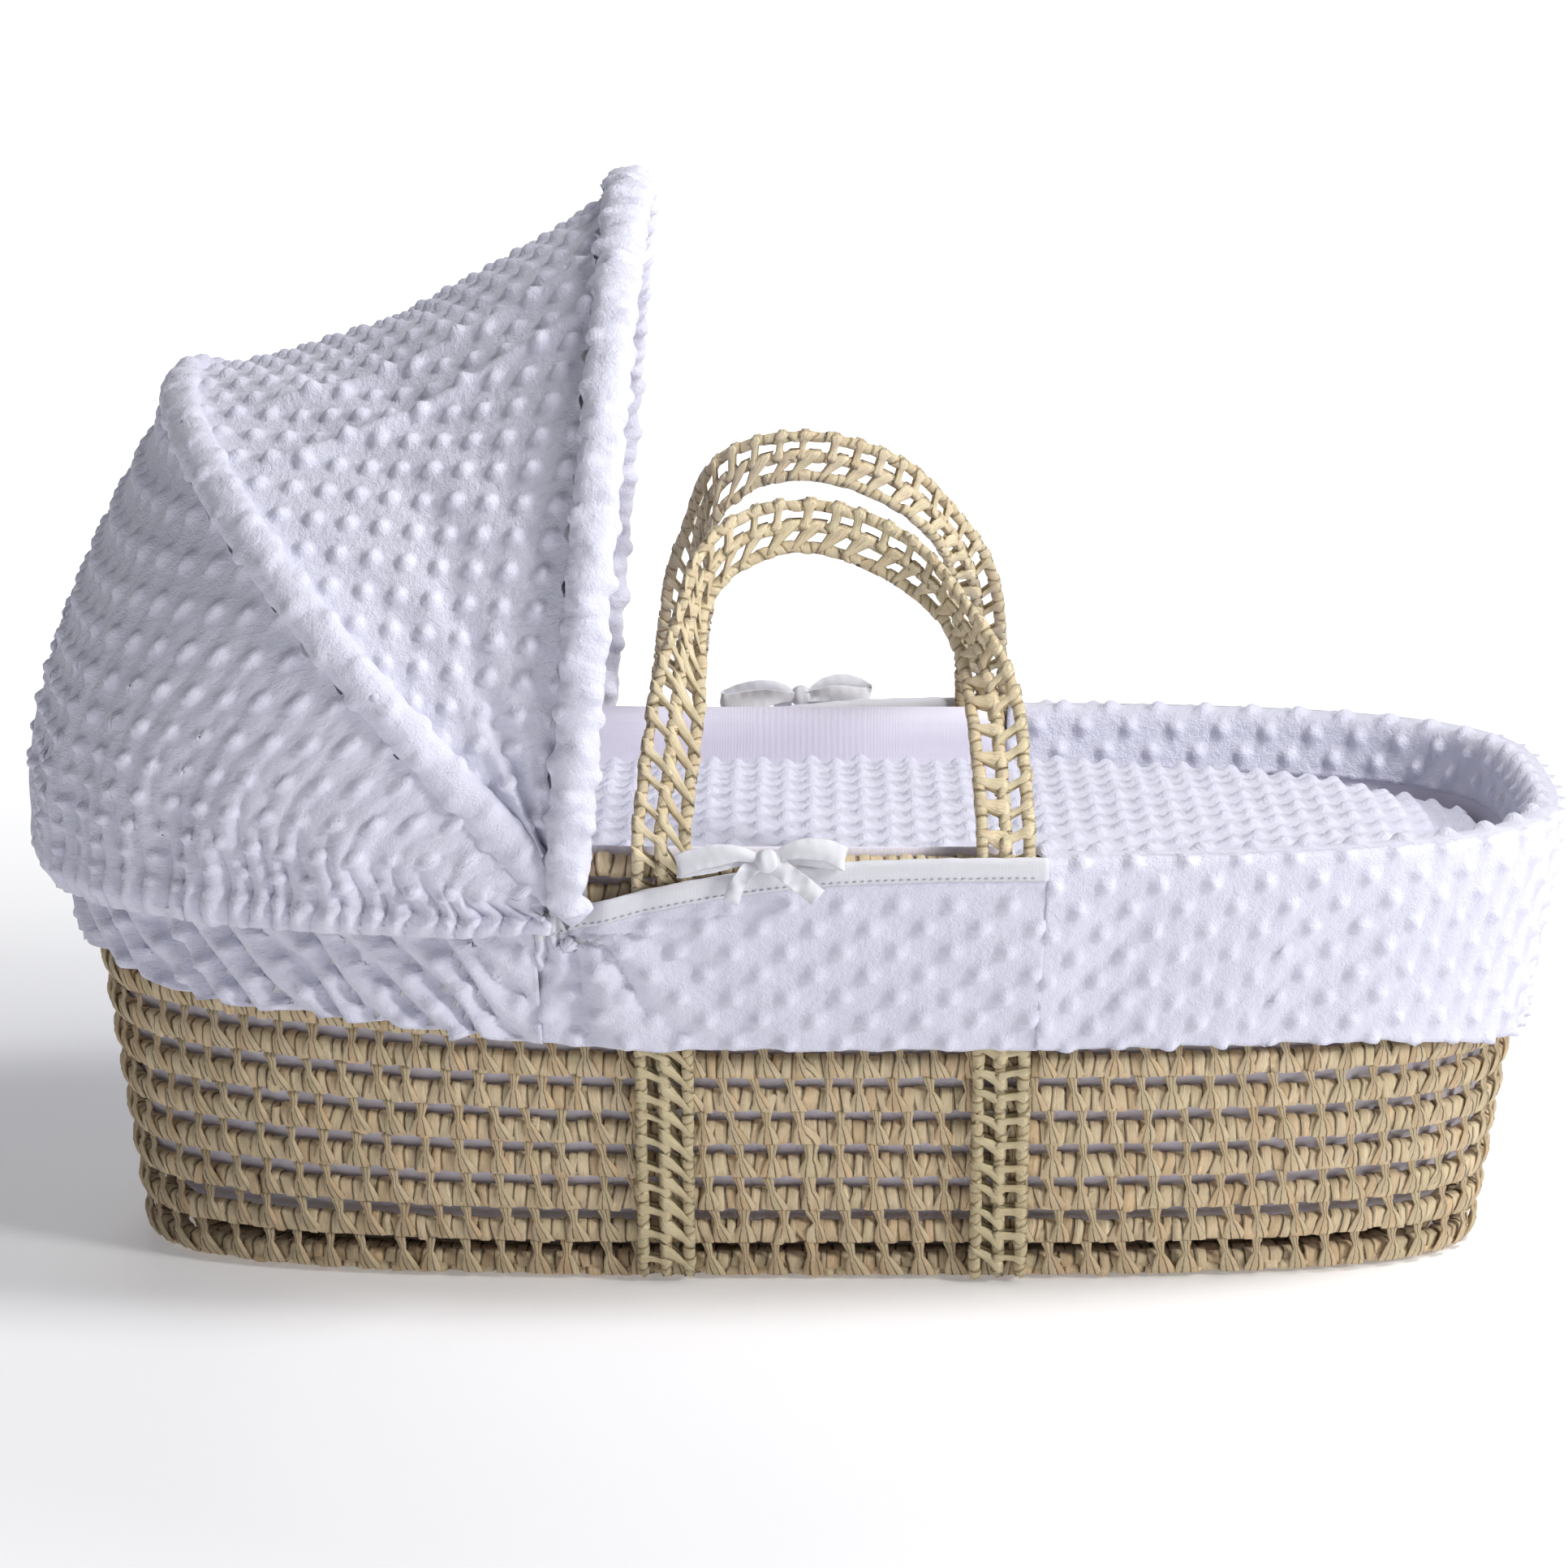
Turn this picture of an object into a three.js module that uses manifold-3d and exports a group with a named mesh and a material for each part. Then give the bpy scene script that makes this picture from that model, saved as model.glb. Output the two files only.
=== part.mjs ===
// Moses basket: a coiled palm-leaf basket with two rope handles, a dimple-fleece dressing,
// a mattress with a coverlet, and a fabric hood on two folding bows.
// Millimetres, +Z up, +X towards the foot end, origin under the middle of the base.

import * as THREE from 'three';
import { LoftGeometry } from 'three/addons/geometries/LoftGeometry.js';
import { mergeVertices } from 'three/addons/utils/BufferGeometryUtils.js';
import Module from 'manifold-3d';

const wasm = await Module();
wasm.setup();

const { lerp, smoothstep, degToRad } = THREE.MathUtils;

// Basket: a rounded oblong in plan that flares from base to rim and climbs at the head end.
const baseHalfLength = 376;
const baseHalfWidth = 127;
const rimHalfLength = 412;
const rimHalfWidth = 205;
const rimHeight = 255;
const squareness = 3.4;
const headClimb = 0.08;
const climbStart = 0.2 * rimHalfLength;
const outlineSteps = 48;
const wallThickness = 8;
const baseThickness = 9;
const wallTop = 245;
const rimTop = 257;
const gap = 0.3;

// Handles: straps of three wrapped cords, sewn down the wall and free above the rim.
const cordRadius = 4;
const cordPitch = 12.5;
const headLegX = -80;
const footLegX = 102.5;
const legTop = 260.5;
const handlePivot = { y: 213, z: 268 };
const handleLean = degToRad(30);
const handleStart = 6;
const handleSteps = 22;

// Fabric dressing.
const clothThickness = 2.5;
const linerInset = wallThickness + 1.2;
const linerTop = 243.5;
const hemHeight = 146;
const seamX = { foot: 121, head: 148 };
const panelDrop = 40;
const ridgeHeight = 263;
const leafBottom = 225;
const leafInset = 12.2;

// Hood: two bows on one pivot line, each angle measured up from the head direction.
const hoodPivot = { x: -131, z: 237 };
const rodRadius = 2.8;
const eyeRadius = 8;
const eyeHole = 2.7;
const pinRadius = 2.4;
const rearBow = { angle: degToRad(48.3), reach: 331, halfWidth: 228, legHeight: 120, eyeY: 218.4, eye: [216.8, 220.6] };
const frontBow = { angle: degToRad(94.8), reach: 355, halfWidth: 232, legHeight: 125, eyeY: 225.6, eye: [222.1, 227.6] };
const casingRadius = 7;
const casingStart = 60;
const bowSteps = 24;

// Bedding.
const mattressBottom = 12.3;
const mattressTop = 56;
const coverletHeadX = -190;

const group = new THREE.Group();

function add(name, geometry, material) {
  const mesh = new THREE.Mesh(geometry, material.clone());
  mesh.name = name;
  group.add(mesh);
}

const palm = new THREE.MeshStandardMaterial({ color: 0xb79f74, roughness: 0.75, metalness: 0 });
const rope = new THREE.MeshStandardMaterial({ color: 0xcdb78a, roughness: 0.7, metalness: 0 });
const fleece = new THREE.MeshStandardMaterial({ color: 0xeeeaf6, roughness: 0.95, metalness: 0 });
const cotton = new THREE.MeshStandardMaterial({ color: 0xf7f6fa, roughness: 0.85, metalness: 0 });
const lining = new THREE.MeshStandardMaterial({ color: 0xd9d6ea, roughness: 0.9, metalness: 0 });
const wire = new THREE.MeshStandardMaterial({ color: 0xe9e9ec, roughness: 0.45, metalness: 0 });
const steel = new THREE.MeshStandardMaterial({ color: 0xb9bcc2, roughness: 0.3, metalness: 1 });

// ---- outline helpers ----

// Everything on the basket climbs by the same share of its height towards the head end.
function climb(x, z) {
  return z * (1 + headClimb * smoothstep(-x, climbStart, rimHalfLength));
}

// Half length and half width at a height, pushed out by sideOut at the sides and endOut at the ends.
function halfSizes(z, sideOut, endOut = sideOut) {
  const share = z / rimHeight;
  return {
    a: lerp(baseHalfLength, rimHalfLength, share) + endOut,
    b: lerp(baseHalfWidth, rimHalfWidth, share) + sideOut,
  };
}

function softPower(value) {
  return Math.sign(value) * Math.abs(value) ** (2 / squareness);
}

function onOutline(size, angle, z) {
  const x = size.a * softPower(Math.cos(angle));
  const y = size.b * softPower(Math.sin(angle));
  return new THREE.Vector3(x, y, climb(x, z));
}

// Half width of the outline at a given x.
function widthAt(size, x) {
  return size.b * (1 - (Math.abs(x) / size.a) ** squareness) ** (1 / squareness);
}

// One level ring; each profile entry is [height, out] or [height, sideOut, endOut].
function ring([z, sideOut, endOut]) {
  const size = halfSizes(z, sideOut, endOut);
  const points = [];
  for (let i = 0; i < outlineSteps; i++) {
    points.push(onOutline(size, (2 * Math.PI * i) / outlineSteps, z));
  }
  return points;
}

// A band round the basket: the profile runs up the outside and down the inside.
function bandGeometry(profile) {
  return new LoftGeometry([...profile, profile[0]].map(ring));
}

// A tray or pad: the first and last rings are closed off.
function trayGeometry(profile) {
  return new LoftGeometry(profile.map(ring), { capStart: true, capEnd: true });
}

// A point round one end of the basket, from the seam on one side (share 0) to the other (share 1).
function roundEnd(end, seam, share, [z, sideOut, endOut]) {
  const size = halfSizes(z, sideOut, endOut);
  const limit = Math.acos((seam / size.a) ** (squareness / 2));
  const angle = lerp(-limit, limit, share) + (end < 0 ? Math.PI : 0);
  return onOutline(size, angle, z);
}

// ---- manifold helpers ----

function toSolid(geometry) {
  const bare = new THREE.BufferGeometry();
  bare.setAttribute('position', geometry.getAttribute('position'));
  bare.setIndex(geometry.getIndex());
  const merged = mergeVertices(bare, 1e-4);
  const mesh = new wasm.Mesh({
    numProp: 3,
    vertProperties: new Float32Array(merged.getAttribute('position').array),
    triVerts: new Uint32Array(merged.getIndex().array),
  });
  return new wasm.Manifold(mesh);
}

function toGeometry(solid) {
  const mesh = solid.getMesh();
  const geometry = new THREE.BufferGeometry();
  geometry.setAttribute('position', new THREE.BufferAttribute(mesh.vertProperties, 3));
  geometry.setIndex(new THREE.BufferAttribute(mesh.triVerts, 1));
  return geometry;
}

// ---- tubes ----

function circle(radius) {
  const shape = new THREE.Shape();
  shape.absarc(0, 0, radius, 0, 2 * Math.PI);
  return shape;
}

function rodAlong(points, radius, steps, halfSides) {
  const path = new THREE.CatmullRomCurve3(points);
  const options = { extrudePath: path, steps, curveSegments: halfSides, bevelEnabled: false };
  return new THREE.ExtrudeGeometry(circle(radius), options);
}

// A washer round the hood's pivot line, which runs along Y.
function turnedRing(innerRadius, outerRadius, fromY, toY) {
  const profile = [
    new THREE.Vector2(innerRadius, fromY),
    new THREE.Vector2(outerRadius, fromY),
    new THREE.Vector2(outerRadius, toY),
    new THREE.Vector2(innerRadius, toY),
    new THREE.Vector2(innerRadius, fromY),
  ];
  return new THREE.LatheGeometry(profile, 12).translate(hoodPivot.x, 0, hoodPivot.z);
}

// ---- basket ----

add('basket_base', trayGeometry([[0, 0], [baseThickness, 0]]), palm);
add('basket_wall', bandGeometry([
  [baseThickness + gap, 0],
  [wallTop / 2, 0],
  [wallTop, 0],
  [wallTop, -wallThickness],
  [wallTop / 2, -wallThickness],
  [baseThickness + gap, -wallThickness],
]), palm);
add('basket_rim', bandGeometry([
  [wallTop + gap, 0.5],
  [wallTop + 6, 2],
  [rimTop, 0],
  [rimTop, -9],
  [wallTop + 6, -11],
  [wallTop + gap, -9.5],
]), palm);

// ---- handles ----

const sides = [['near', -1], ['far', 1]];
const cords = [['head', -1], ['middle', 0], ['foot', 1]];

// A fixed leg cord lies against the wall and steps out over the rim.
function legCord(x, side) {
  const heights = [2, 125, 236, 251, legTop];
  const stand = [0.6, 0.6, 0.6, 3.6, 3.4];
  const points = heights.map((z, i) => {
    const y = Math.min(halfSizes(z, stand[i] + cordRadius).b, handlePivot.y);
    return new THREE.Vector3(x, side * y, z);
  });
  return rodAlong(points, cordRadius, 7, 3);
}

// A flat ribbon that zigzags across three cords; place(along, across, lift) sets its points.
function lacing(place, length, halfSpan, halfRibbon, lift) {
  const bends = Math.round(length / 17);
  const sections = [];
  for (let i = 0; i <= bends; i++) {
    const across = i % 2 ? halfSpan : -halfSpan;
    const along = (length * i) / bends;
    sections.push([
      place(along, across - halfRibbon, lift),
      place(along, across + halfRibbon, lift),
      place(along, across + halfRibbon, lift + 0.8),
      place(along, across - halfRibbon, lift + 0.8),
    ]);
  }
  return new LoftGeometry(sections, { capStart: true, capEnd: true });
}

function legLacing(centreX, side) {
  const bottom = 10;
  const top = 232;
  const place = (along, across, lift) => {
    const z = bottom + along;
    return new THREE.Vector3(centreX + side * across, side * halfSizes(z, lift).b, z);
  };
  return lacing(place, top - bottom, cordPitch, 2.4, 2 * cordRadius + 0.9);
}

for (const [sideName, side] of sides) {
  for (const [legName, centreX] of [['head', headLegX], ['foot', footLegX]]) {
    for (const [cordName, cord] of cords) {
      const name = `leg_cord_${sideName}_${legName}_${cordName}`;
      add(name, legCord(centreX + cord * cordPitch, side), rope);
    }
    add(`leg_lacing_${sideName}_${legName}`, legLacing(centreX, side), rope);
  }
}

// Middle line of the arch in its own plane: x along the basket, y up from the pivot line.
const archLine = new THREE.CatmullRomCurve3([
  [headLegX, handleStart], [-74, 62], [-68, 108], [-60, 145], [-42, 167], [-16, 177.5],
  [12, 176], [40, 164], [63, 146], [80, 123], [92, 97], [99, 62], [footLegX, handleStart],
].map(([x, y]) => new THREE.Vector3(x, y, 0)));

// The cords close up where the strap turns over the two shoulders, and the strap twists there.
function strapPitch(share) {
  const shoulder = smoothstep(share, 0.12, 0.3) * smoothstep(1 - share, 0.12, 0.3);
  return lerp(cordPitch, 9.6, shoulder);
}

function strapTwist(share) {
  const fromShoulder = Math.abs(Math.abs(share - 0.5) - 0.2);
  return degToRad(42) * smoothstep(0.16 - fromShoulder, 0, 0.16);
}

// Point on the strap: across counts cord pitches outwards from the middle cord.
function onStrap(side, share, across, lift) {
  const middle = archLine.getPointAt(share);
  const tangent = archLine.getTangentAt(share);
  const twist = strapTwist(share);
  const reach = across * strapPitch(share);
  const inPlane = reach * Math.cos(twist) - lift * Math.sin(twist);
  const outward = reach * Math.sin(twist) + lift * Math.cos(twist);
  const x = middle.x - tangent.y * inPlane;
  const up = middle.y + tangent.x * inPlane;
  const y = handlePivot.y - up * Math.sin(handleLean) + outward * Math.cos(handleLean);
  const z = handlePivot.z + up * Math.cos(handleLean) + outward * Math.sin(handleLean);
  return new THREE.Vector3(x, side * y, z);
}

function archCord(side, across) {
  const points = [];
  for (let i = 0; i <= handleSteps; i++) {
    points.push(onStrap(side, i / handleSteps, across, 0));
  }
  return rodAlong(points, cordRadius, handleSteps, 3);
}

function archLacing(side) {
  const length = archLine.getLength();
  const margin = 22;
  const place = (along, across, lift) => onStrap(side, (margin + along) / length, -side * across, lift);
  return lacing(place, length - 2 * margin, 0.9, 0.2, cordRadius + 2);
}

for (const [sideName, side] of sides) {
  for (const [cordName, across] of [['inner', -1], ['middle', 0], ['outer', 1]]) {
    add(`handle_cord_${sideName}_${cordName}`, archCord(side, across), rope);
  }
  add(`handle_lacing_${sideName}`, archLacing(side), rope);
}

// ---- fabric dressing ----

add('liner', trayGeometry([
  [baseThickness + 0.5, -linerInset],
  [wallTop / 2, -linerInset],
  [linerTop, -linerInset],
  [linerTop, -linerInset - 2],
  [wallTop / 2, -linerInset - 2],
  [baseThickness + 2.3, -linerInset - 2],
  [baseThickness + 2.8, -60],
]), lining);

// The hem hangs lower at the foot end, lifts a little beside the hood and more at the head end.
function hemAt(x) {
  const footDip = 14 * smoothstep(x, 240, rimHalfLength) ** 2;
  const hoodLift = 9 * smoothstep(-x, 100, 300);
  const headLift = 20 * smoothstep(-x, 300, 420) ** 2;
  return hemHeight - footDip + hoodLift + headLift;
}

// Skirt section: up the outside, over the rim, and down inside to the liner.
function skirtProfile(hem) {
  return [
    [hem, 7, 9],
    [hem, 7 - clothThickness, 9 - clothThickness],
    [238, 7, 10],
    [rimTop + 1, 4, 6],
    [rimTop + 1, -leafInset],
    [leafBottom, -leafInset],
    [leafBottom, -leafInset - clothThickness],
    [rimTop + 2, -leafInset - clothThickness],
    [ridgeHeight, -3],
    [rimTop + 2, 7.5, 11],
    [240, 9.5, 13],
  ];
}

function skirt(end, seam) {
  const steps = 18;
  const sections = [];
  for (let i = 0; i <= steps; i++) {
    const rimPoint = roundEnd(end, seam, i / steps, [rimHeight, 0, 0]);
    const profile = skirtProfile(hemAt(rimPoint.x));
    sections.push(profile.map((entry) => roundEnd(end, seam, i / steps, entry)));
  }
  return new LoftGeometry(sections, { capStart: true, capEnd: true });
}

add('skirt_foot', skirt(1, seamX.foot + gap), fleece);
add('skirt_head', skirt(-1, seamX.head + gap), fleece);

// The side panels hang over the handle legs; their top edge sinks towards the hood pivot.
function panelTop(x) {
  return 258.5 - panelDrop * ((seamX.foot - x) / (seamX.foot + seamX.head)) ** 3;
}

function panelStand(x, z) {
  return lerp(5.5, lerp(10, 14, z / rimHeight), smoothstep(x, -130, -108));
}

function onPanel(side, x, z, out) {
  const size = halfSizes(z, panelStand(x, z) + out);
  return new THREE.Vector3(x, side * widthAt(size, x), climb(x, z));
}

// A strip along a side panel; profile(x) lists [height, out] points round its section.
function panelStrip(side, profile) {
  const steps = 14;
  const sections = [];
  const [from, to] = side < 0 ? [-seamX.head, seamX.foot] : [seamX.foot, -seamX.head];
  for (let i = 0; i <= steps; i++) {
    const x = lerp(from, to, i / steps);
    sections.push(profile(x).map(([z, out]) => onPanel(side, x, z, out)));
  }
  return new LoftGeometry(sections, { capStart: true, capEnd: true });
}

function panelProfile(x) {
  const middle = (hemAt(x) + panelTop(x)) / 2;
  return [
    [hemAt(x), clothThickness],
    [hemAt(x), 0],
    [middle, 0],
    [panelTop(x), 0],
    [panelTop(x), clothThickness],
    [middle, clothThickness],
  ];
}

// White tape folded over the panel's top edge.
function bindingProfile(x) {
  const top = panelTop(x);
  const inner = -gap;
  const outer = clothThickness + gap;
  const tape = 0.8;
  return [
    [top - 11, outer + tape],
    [top - 11, outer],
    [top + gap, outer],
    [top + gap, inner],
    [top - 11, inner],
    [top - 11, inner - tape],
    [top + gap + tape, inner - tape],
    [top + gap + tape, outer + tape],
  ];
}

// A bow tied at the slot, drawn as one flat outline.
function tieShape() {
  const shape = new THREE.Shape();
  shape.moveTo(-4, 4);
  shape.bezierCurveTo(-16, 12, -34, 14, -50, 8);
  shape.lineTo(-50, 3);
  shape.bezierCurveTo(-34, 4, -16, 0, -5, -3);
  shape.bezierCurveTo(-8, -10, -14, -18, -22, -22);
  shape.lineTo(-14, -25);
  shape.bezierCurveTo(-6, -18, 0, -12, 3, -5);
  shape.bezierCurveTo(10, -12, 16, -12, 26, -8);
  shape.bezierCurveTo(34, -2, 26, 6, 5, 4);
  shape.lineTo(-4, 4);
  return shape;
}

for (const [sideName, side] of sides) {
  add(`panel_${sideName}`, panelStrip(side, panelProfile), fleece);
  add(`binding_${sideName}`, panelStrip(side, bindingProfile), cotton);
  const tie = new THREE.ExtrudeGeometry(tieShape(), { depth: 4, curveSegments: 4, bevelEnabled: false });
  tie.rotateX(Math.PI / 2);
  tie.translate(-12, side < 0 ? -224.6 : 228.6, 250);
  add(`tie_${sideName}`, tie, cotton);
}

// ---- bedding ----

add('mattress', trayGeometry([
  [mattressBottom, -18, -18],
  [mattressBottom + 6, -12.5],
  [mattressTop - 8, -12.5],
  [mattressTop, -20],
]), cotton);

// The coverlet is tucked down round the mattress, and stays open at the head end.
const tuckedCoverlet = trayGeometry([
  [222, -60, -70],
  [224, -29, -34],
  [mattressTop + 0.5, -21, -24],
  [mattressTop + 0.5, -12.5, -16],
  [222, -16, -20],
  [236, -21, -26],
  [243, -60, -70],
]);
const headCut = new THREE.BoxGeometry(400, 600, 600).translate(coverletHeadX - 200, 0, 0);
add('coverlet', toGeometry(toSolid(tuckedCoverlet).subtract(toSolid(headCut))), fleece);

// ---- hood ----

for (const [sideName, side] of sides) {
  const plate = new THREE.Shape();
  plate.moveTo(-11, -4);
  plate.lineTo(11, -4);
  plate.lineTo(11, 20);
  plate.lineTo(-11, 20);
  plate.lineTo(-11, -4);
  plate.holes.push(new THREE.Path().absarc(0, 0.4, eyeHole, 0, 2 * Math.PI));
  const bracket = new THREE.ExtrudeGeometry(plate, { depth: 2.4, curveSegments: 6, bevelEnabled: false });
  bracket.rotateX(Math.PI / 2);
  bracket.translate(hoodPivot.x, side < 0 ? -206.6 : 209, hoodPivot.z - 0.4);
  add(`hood_bracket_${sideName}`, bracket, steel);

  const bushEnds = [209.3, 216.4].map((y) => side * y).sort((p, q) => p - q);
  add(`hood_bush_${sideName}`, turnedRing(eyeHole, 5.5, ...bushEnds), wire);

  const pinProfile = [[0, 206.9], [pinRadius, 206.9], [pinRadius, 228.8], [5.5, 228.8], [5.5, 230.3], [0, 231.3]];
  const turned = pinProfile.map(([r, y]) => new THREE.Vector2(r, side * y));
  if (side < 0) {
    turned.reverse();
  }
  const pin = new THREE.LatheGeometry(turned, 12).translate(hoodPivot.x, 0, hoodPivot.z);
  add(`hood_pin_${sideName}`, pin, steel);
}

// Bow in its own plane: straight legs that spread a little, then half an ellipse over the top.
function bowOutline(bow, startHeight) {
  const outline = new THREE.Path();
  const spread = lerp(bow.eyeY, bow.halfWidth, startHeight / bow.legHeight);
  outline.moveTo(-spread, startHeight);
  outline.lineTo(-bow.halfWidth, bow.legHeight);
  outline.absellipse(0, bow.legHeight, bow.halfWidth, bow.reach - bow.legHeight, Math.PI, 0, true);
  outline.lineTo(spread, startHeight);
  return outline;
}

function inBowPlane(bow, { x: across, y: up }) {
  const x = hoodPivot.x - up * Math.cos(bow.angle);
  const z = hoodPivot.z + up * Math.sin(bow.angle);
  return new THREE.Vector3(x, across, z);
}

function bowPoints(bow, startHeight, steps) {
  return bowOutline(bow, startHeight).getSpacedPoints(steps).map((point) => inBowPlane(bow, point));
}

function bowRod(bow) {
  let solid = toSolid(rodAlong(bowPoints(bow, 5.5, bowSteps), rodRadius, bowSteps, 3));
  for (const side of [-1, 1]) {
    const ends = bow.eye.map((y) => side * y).sort((p, q) => p - q);
    solid = solid.add(toSolid(turnedRing(eyeHole, eyeRadius, ...ends)));
  }
  return toGeometry(solid);
}

// A cloth tube open at both ends round the bow.
function casing(bow) {
  const points = bowPoints(bow, casingStart, bowSteps);
  const outer = toSolid(rodAlong(points, casingRadius, bowSteps, 3));
  const beyond = bowPoints(bow, casingStart - 4, bowSteps);
  const bore = toSolid(rodAlong(beyond, rodRadius + 1.7, bowSteps, 3));
  return toGeometry(outer.subtract(bore));
}

add('rear_bow', bowRod(rearBow), wire);
add('front_bow', bowRod(frontBow), wire);
add('rear_casing', casing(rearBow), fleece);
add('front_casing', casing(frontBow), fleece);

// A cloth panel lofted from the near side over the hood to the far side. strip(share) gives
// the points across it; each is pushed out from the middle of the hood for the outer face.
const hoodMiddle = new THREE.Vector3(-215, 0, 290);

function hoodPanel(strip) {
  const steps = 20;
  const sections = [];
  for (let i = 0; i <= steps; i++) {
    const inside = strip(i / steps);
    const outside = inside.map((point) => {
      const outwards = point.clone().sub(hoodMiddle).normalize();
      return point.clone().addScaledVector(outwards, clothThickness);
    });
    sections.push([...outside, ...inside.reverse()]);
  }
  return new LoftGeometry(sections, { capStart: true, capEnd: true });
}

const rearLine = new THREE.CatmullRomCurve3(bowPoints(rearBow, casingStart, bowSteps));
const frontLine = new THREE.CatmullRomCurve3(bowPoints(frontBow, casingStart, bowSteps));

// The front panel sags a little between the two casings.
function canopyStrip(share) {
  const rear = rearLine.getPointAt(share);
  const front = frontLine.getPointAt(share);
  const margin = (casingRadius + 2.4) / rear.distanceTo(front);
  const points = [];
  for (let i = 0; i <= 4; i++) {
    const across = lerp(margin, 1 - margin, i / 4);
    const sag = 10 * Math.sin(Math.PI * across) * Math.sin(Math.PI * share);
    const point = rear.clone().lerp(front, across);
    const inwards = hoodMiddle.clone().sub(point).normalize();
    points.push(point.addScaledVector(inwards, sag));
  }
  return points;
}

// Hem of the hood: an elastic line round the outside of the head end.
const hoodHemSize = { a: 424, b: 220 };
const hoodHemHeight = 223;
const hoodHemSeam = 172;

function hoodHem(share) {
  const limit = Math.acos((hoodHemSeam / hoodHemSize.a) ** (squareness / 2));
  const angle = Math.PI + lerp(limit, -limit, share);
  const x = hoodHemSize.a * softPower(Math.cos(angle));
  const y = hoodHemSize.b * softPower(Math.sin(angle));
  const rise = 5 * Math.sin(Math.PI * share);
  return new THREE.Vector3(x, y, hoodHemHeight + rise);
}

// The back panel swells out between the rear casing and its hem.
function backStrip(share) {
  const hem = hoodHem(share);
  const bow = rearLine.getPointAt(share);
  const swell = new THREE.Vector3(hem.x * 1.055, hem.y * 1.05, lerp(hem.z, bow.z, 0.3));
  const curve = new THREE.QuadraticBezierCurve3(hem, swell, bow);
  const end = 1 - (casingRadius + 1.5) / curve.getLength();
  const points = [];
  for (let i = 0; i <= 5; i++) {
    points.push(curve.getPointAt((end * i) / 5));
  }
  return points;
}

add('hood_canopy', hoodPanel(canopyStrip), fleece);
add('hood_back', hoodPanel(backStrip), fleece);

const elasticPoints = [];
for (let i = 0; i <= 24; i++) {
  const point = hoodHem(i / 24);
  elasticPoints.push(point.setZ(point.z - 3.2));
}
add('hood_elastic', rodAlong(elasticPoints, 1.8, 24, 3), cotton);

export default group;
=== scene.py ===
import math

import bmesh
import bpy
import numpy as np
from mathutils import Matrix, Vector


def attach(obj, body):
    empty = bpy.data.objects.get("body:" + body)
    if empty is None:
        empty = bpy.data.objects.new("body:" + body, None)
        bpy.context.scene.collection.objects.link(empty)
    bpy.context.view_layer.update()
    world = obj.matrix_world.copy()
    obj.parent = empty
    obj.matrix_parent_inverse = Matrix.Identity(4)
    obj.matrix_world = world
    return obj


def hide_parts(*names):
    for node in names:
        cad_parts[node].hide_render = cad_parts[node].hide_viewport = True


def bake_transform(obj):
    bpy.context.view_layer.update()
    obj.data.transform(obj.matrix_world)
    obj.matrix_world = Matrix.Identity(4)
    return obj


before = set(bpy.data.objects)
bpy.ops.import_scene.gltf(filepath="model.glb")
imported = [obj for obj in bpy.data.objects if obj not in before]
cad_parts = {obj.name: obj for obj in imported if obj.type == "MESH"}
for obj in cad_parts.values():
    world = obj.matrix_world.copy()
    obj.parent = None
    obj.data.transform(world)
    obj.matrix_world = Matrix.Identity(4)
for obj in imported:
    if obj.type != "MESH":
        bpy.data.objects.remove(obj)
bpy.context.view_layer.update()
print("frame loaded")

# camera, light and world

cameraSet = {
    "target": (-0.0156, 0.0, 0.2538),
    "distance": 3.284,
    "elevation": 12.0,
    "azimuth": 0.18,
    "lens": 133.2,
}


lightSets = {
    "key": {"place": (2.6, -2.0, 1.7), "size": 0.7, "power": 68, "colour": (1.0, 0.99, 0.97)},
    "top": {"place": (1.35, -0.6, 2.6), "size": 0.8, "power": 48, "colour": (1.0, 1.0, 1.0)},
    "fill": {"place": (-2.2, -2.2, 1.0), "size": 2.0, "power": 2, "colour": (1.0, 1.0, 1.0)},
    "back": {"place": (-0.4, 2.9, 1.9), "size": 1.6, "power": 24, "colour": (0.97, 0.98, 1.0)},
}
lightTarget = Vector((0, 0, 0.25))
worldSet = {"colour": (0.92, 0.94, 1.0, 1), "strength": 0.13}


def inScene(name, data):
    holder = bpy.data.objects.new(name, data)
    bpy.context.scene.collection.objects.link(holder)
    return holder


def addCamera(settings):
    up = math.radians(settings["elevation"])
    turn = math.radians(settings["azimuth"])
    away = Vector((math.cos(up) * math.sin(turn), -math.cos(up) * math.cos(turn), math.sin(up)))
    lens = bpy.data.cameras.new("camera")
    lens.lens = settings["lens"]
    lens.sensor_width = 36
    camera = inScene("camera", lens)
    camera.location = Vector(settings["target"]) + away * settings["distance"]
    camera.rotation_euler = (-away).to_track_quat("-Z", "Y").to_euler()
    bpy.context.scene.camera = camera


def addLight(name, settings):
    lamp = bpy.data.lights.new(name, "AREA")
    lamp.size = settings["size"]
    lamp.energy = settings["power"]
    lamp.color = settings["colour"]
    light = inScene(name, lamp)
    light.location = settings["place"]
    light.rotation_euler = (lightTarget - Vector(settings["place"])).to_track_quat("-Z", "Y").to_euler()


def addWorld(settings):
    world = bpy.data.worlds.new("studio")
    world.use_nodes = True
    background = world.node_tree.nodes["Background"]
    background.inputs["Color"].default_value = settings["colour"]
    background.inputs["Strength"].default_value = settings["strength"]
    bpy.context.scene.world = world


addCamera(cameraSet)
bpy.context.scene.view_settings.view_transform = "Standard"
for lightName, lightSet in lightSets.items():
    addLight(lightName, lightSet)
addWorld(worldSet)

# materials


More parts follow.
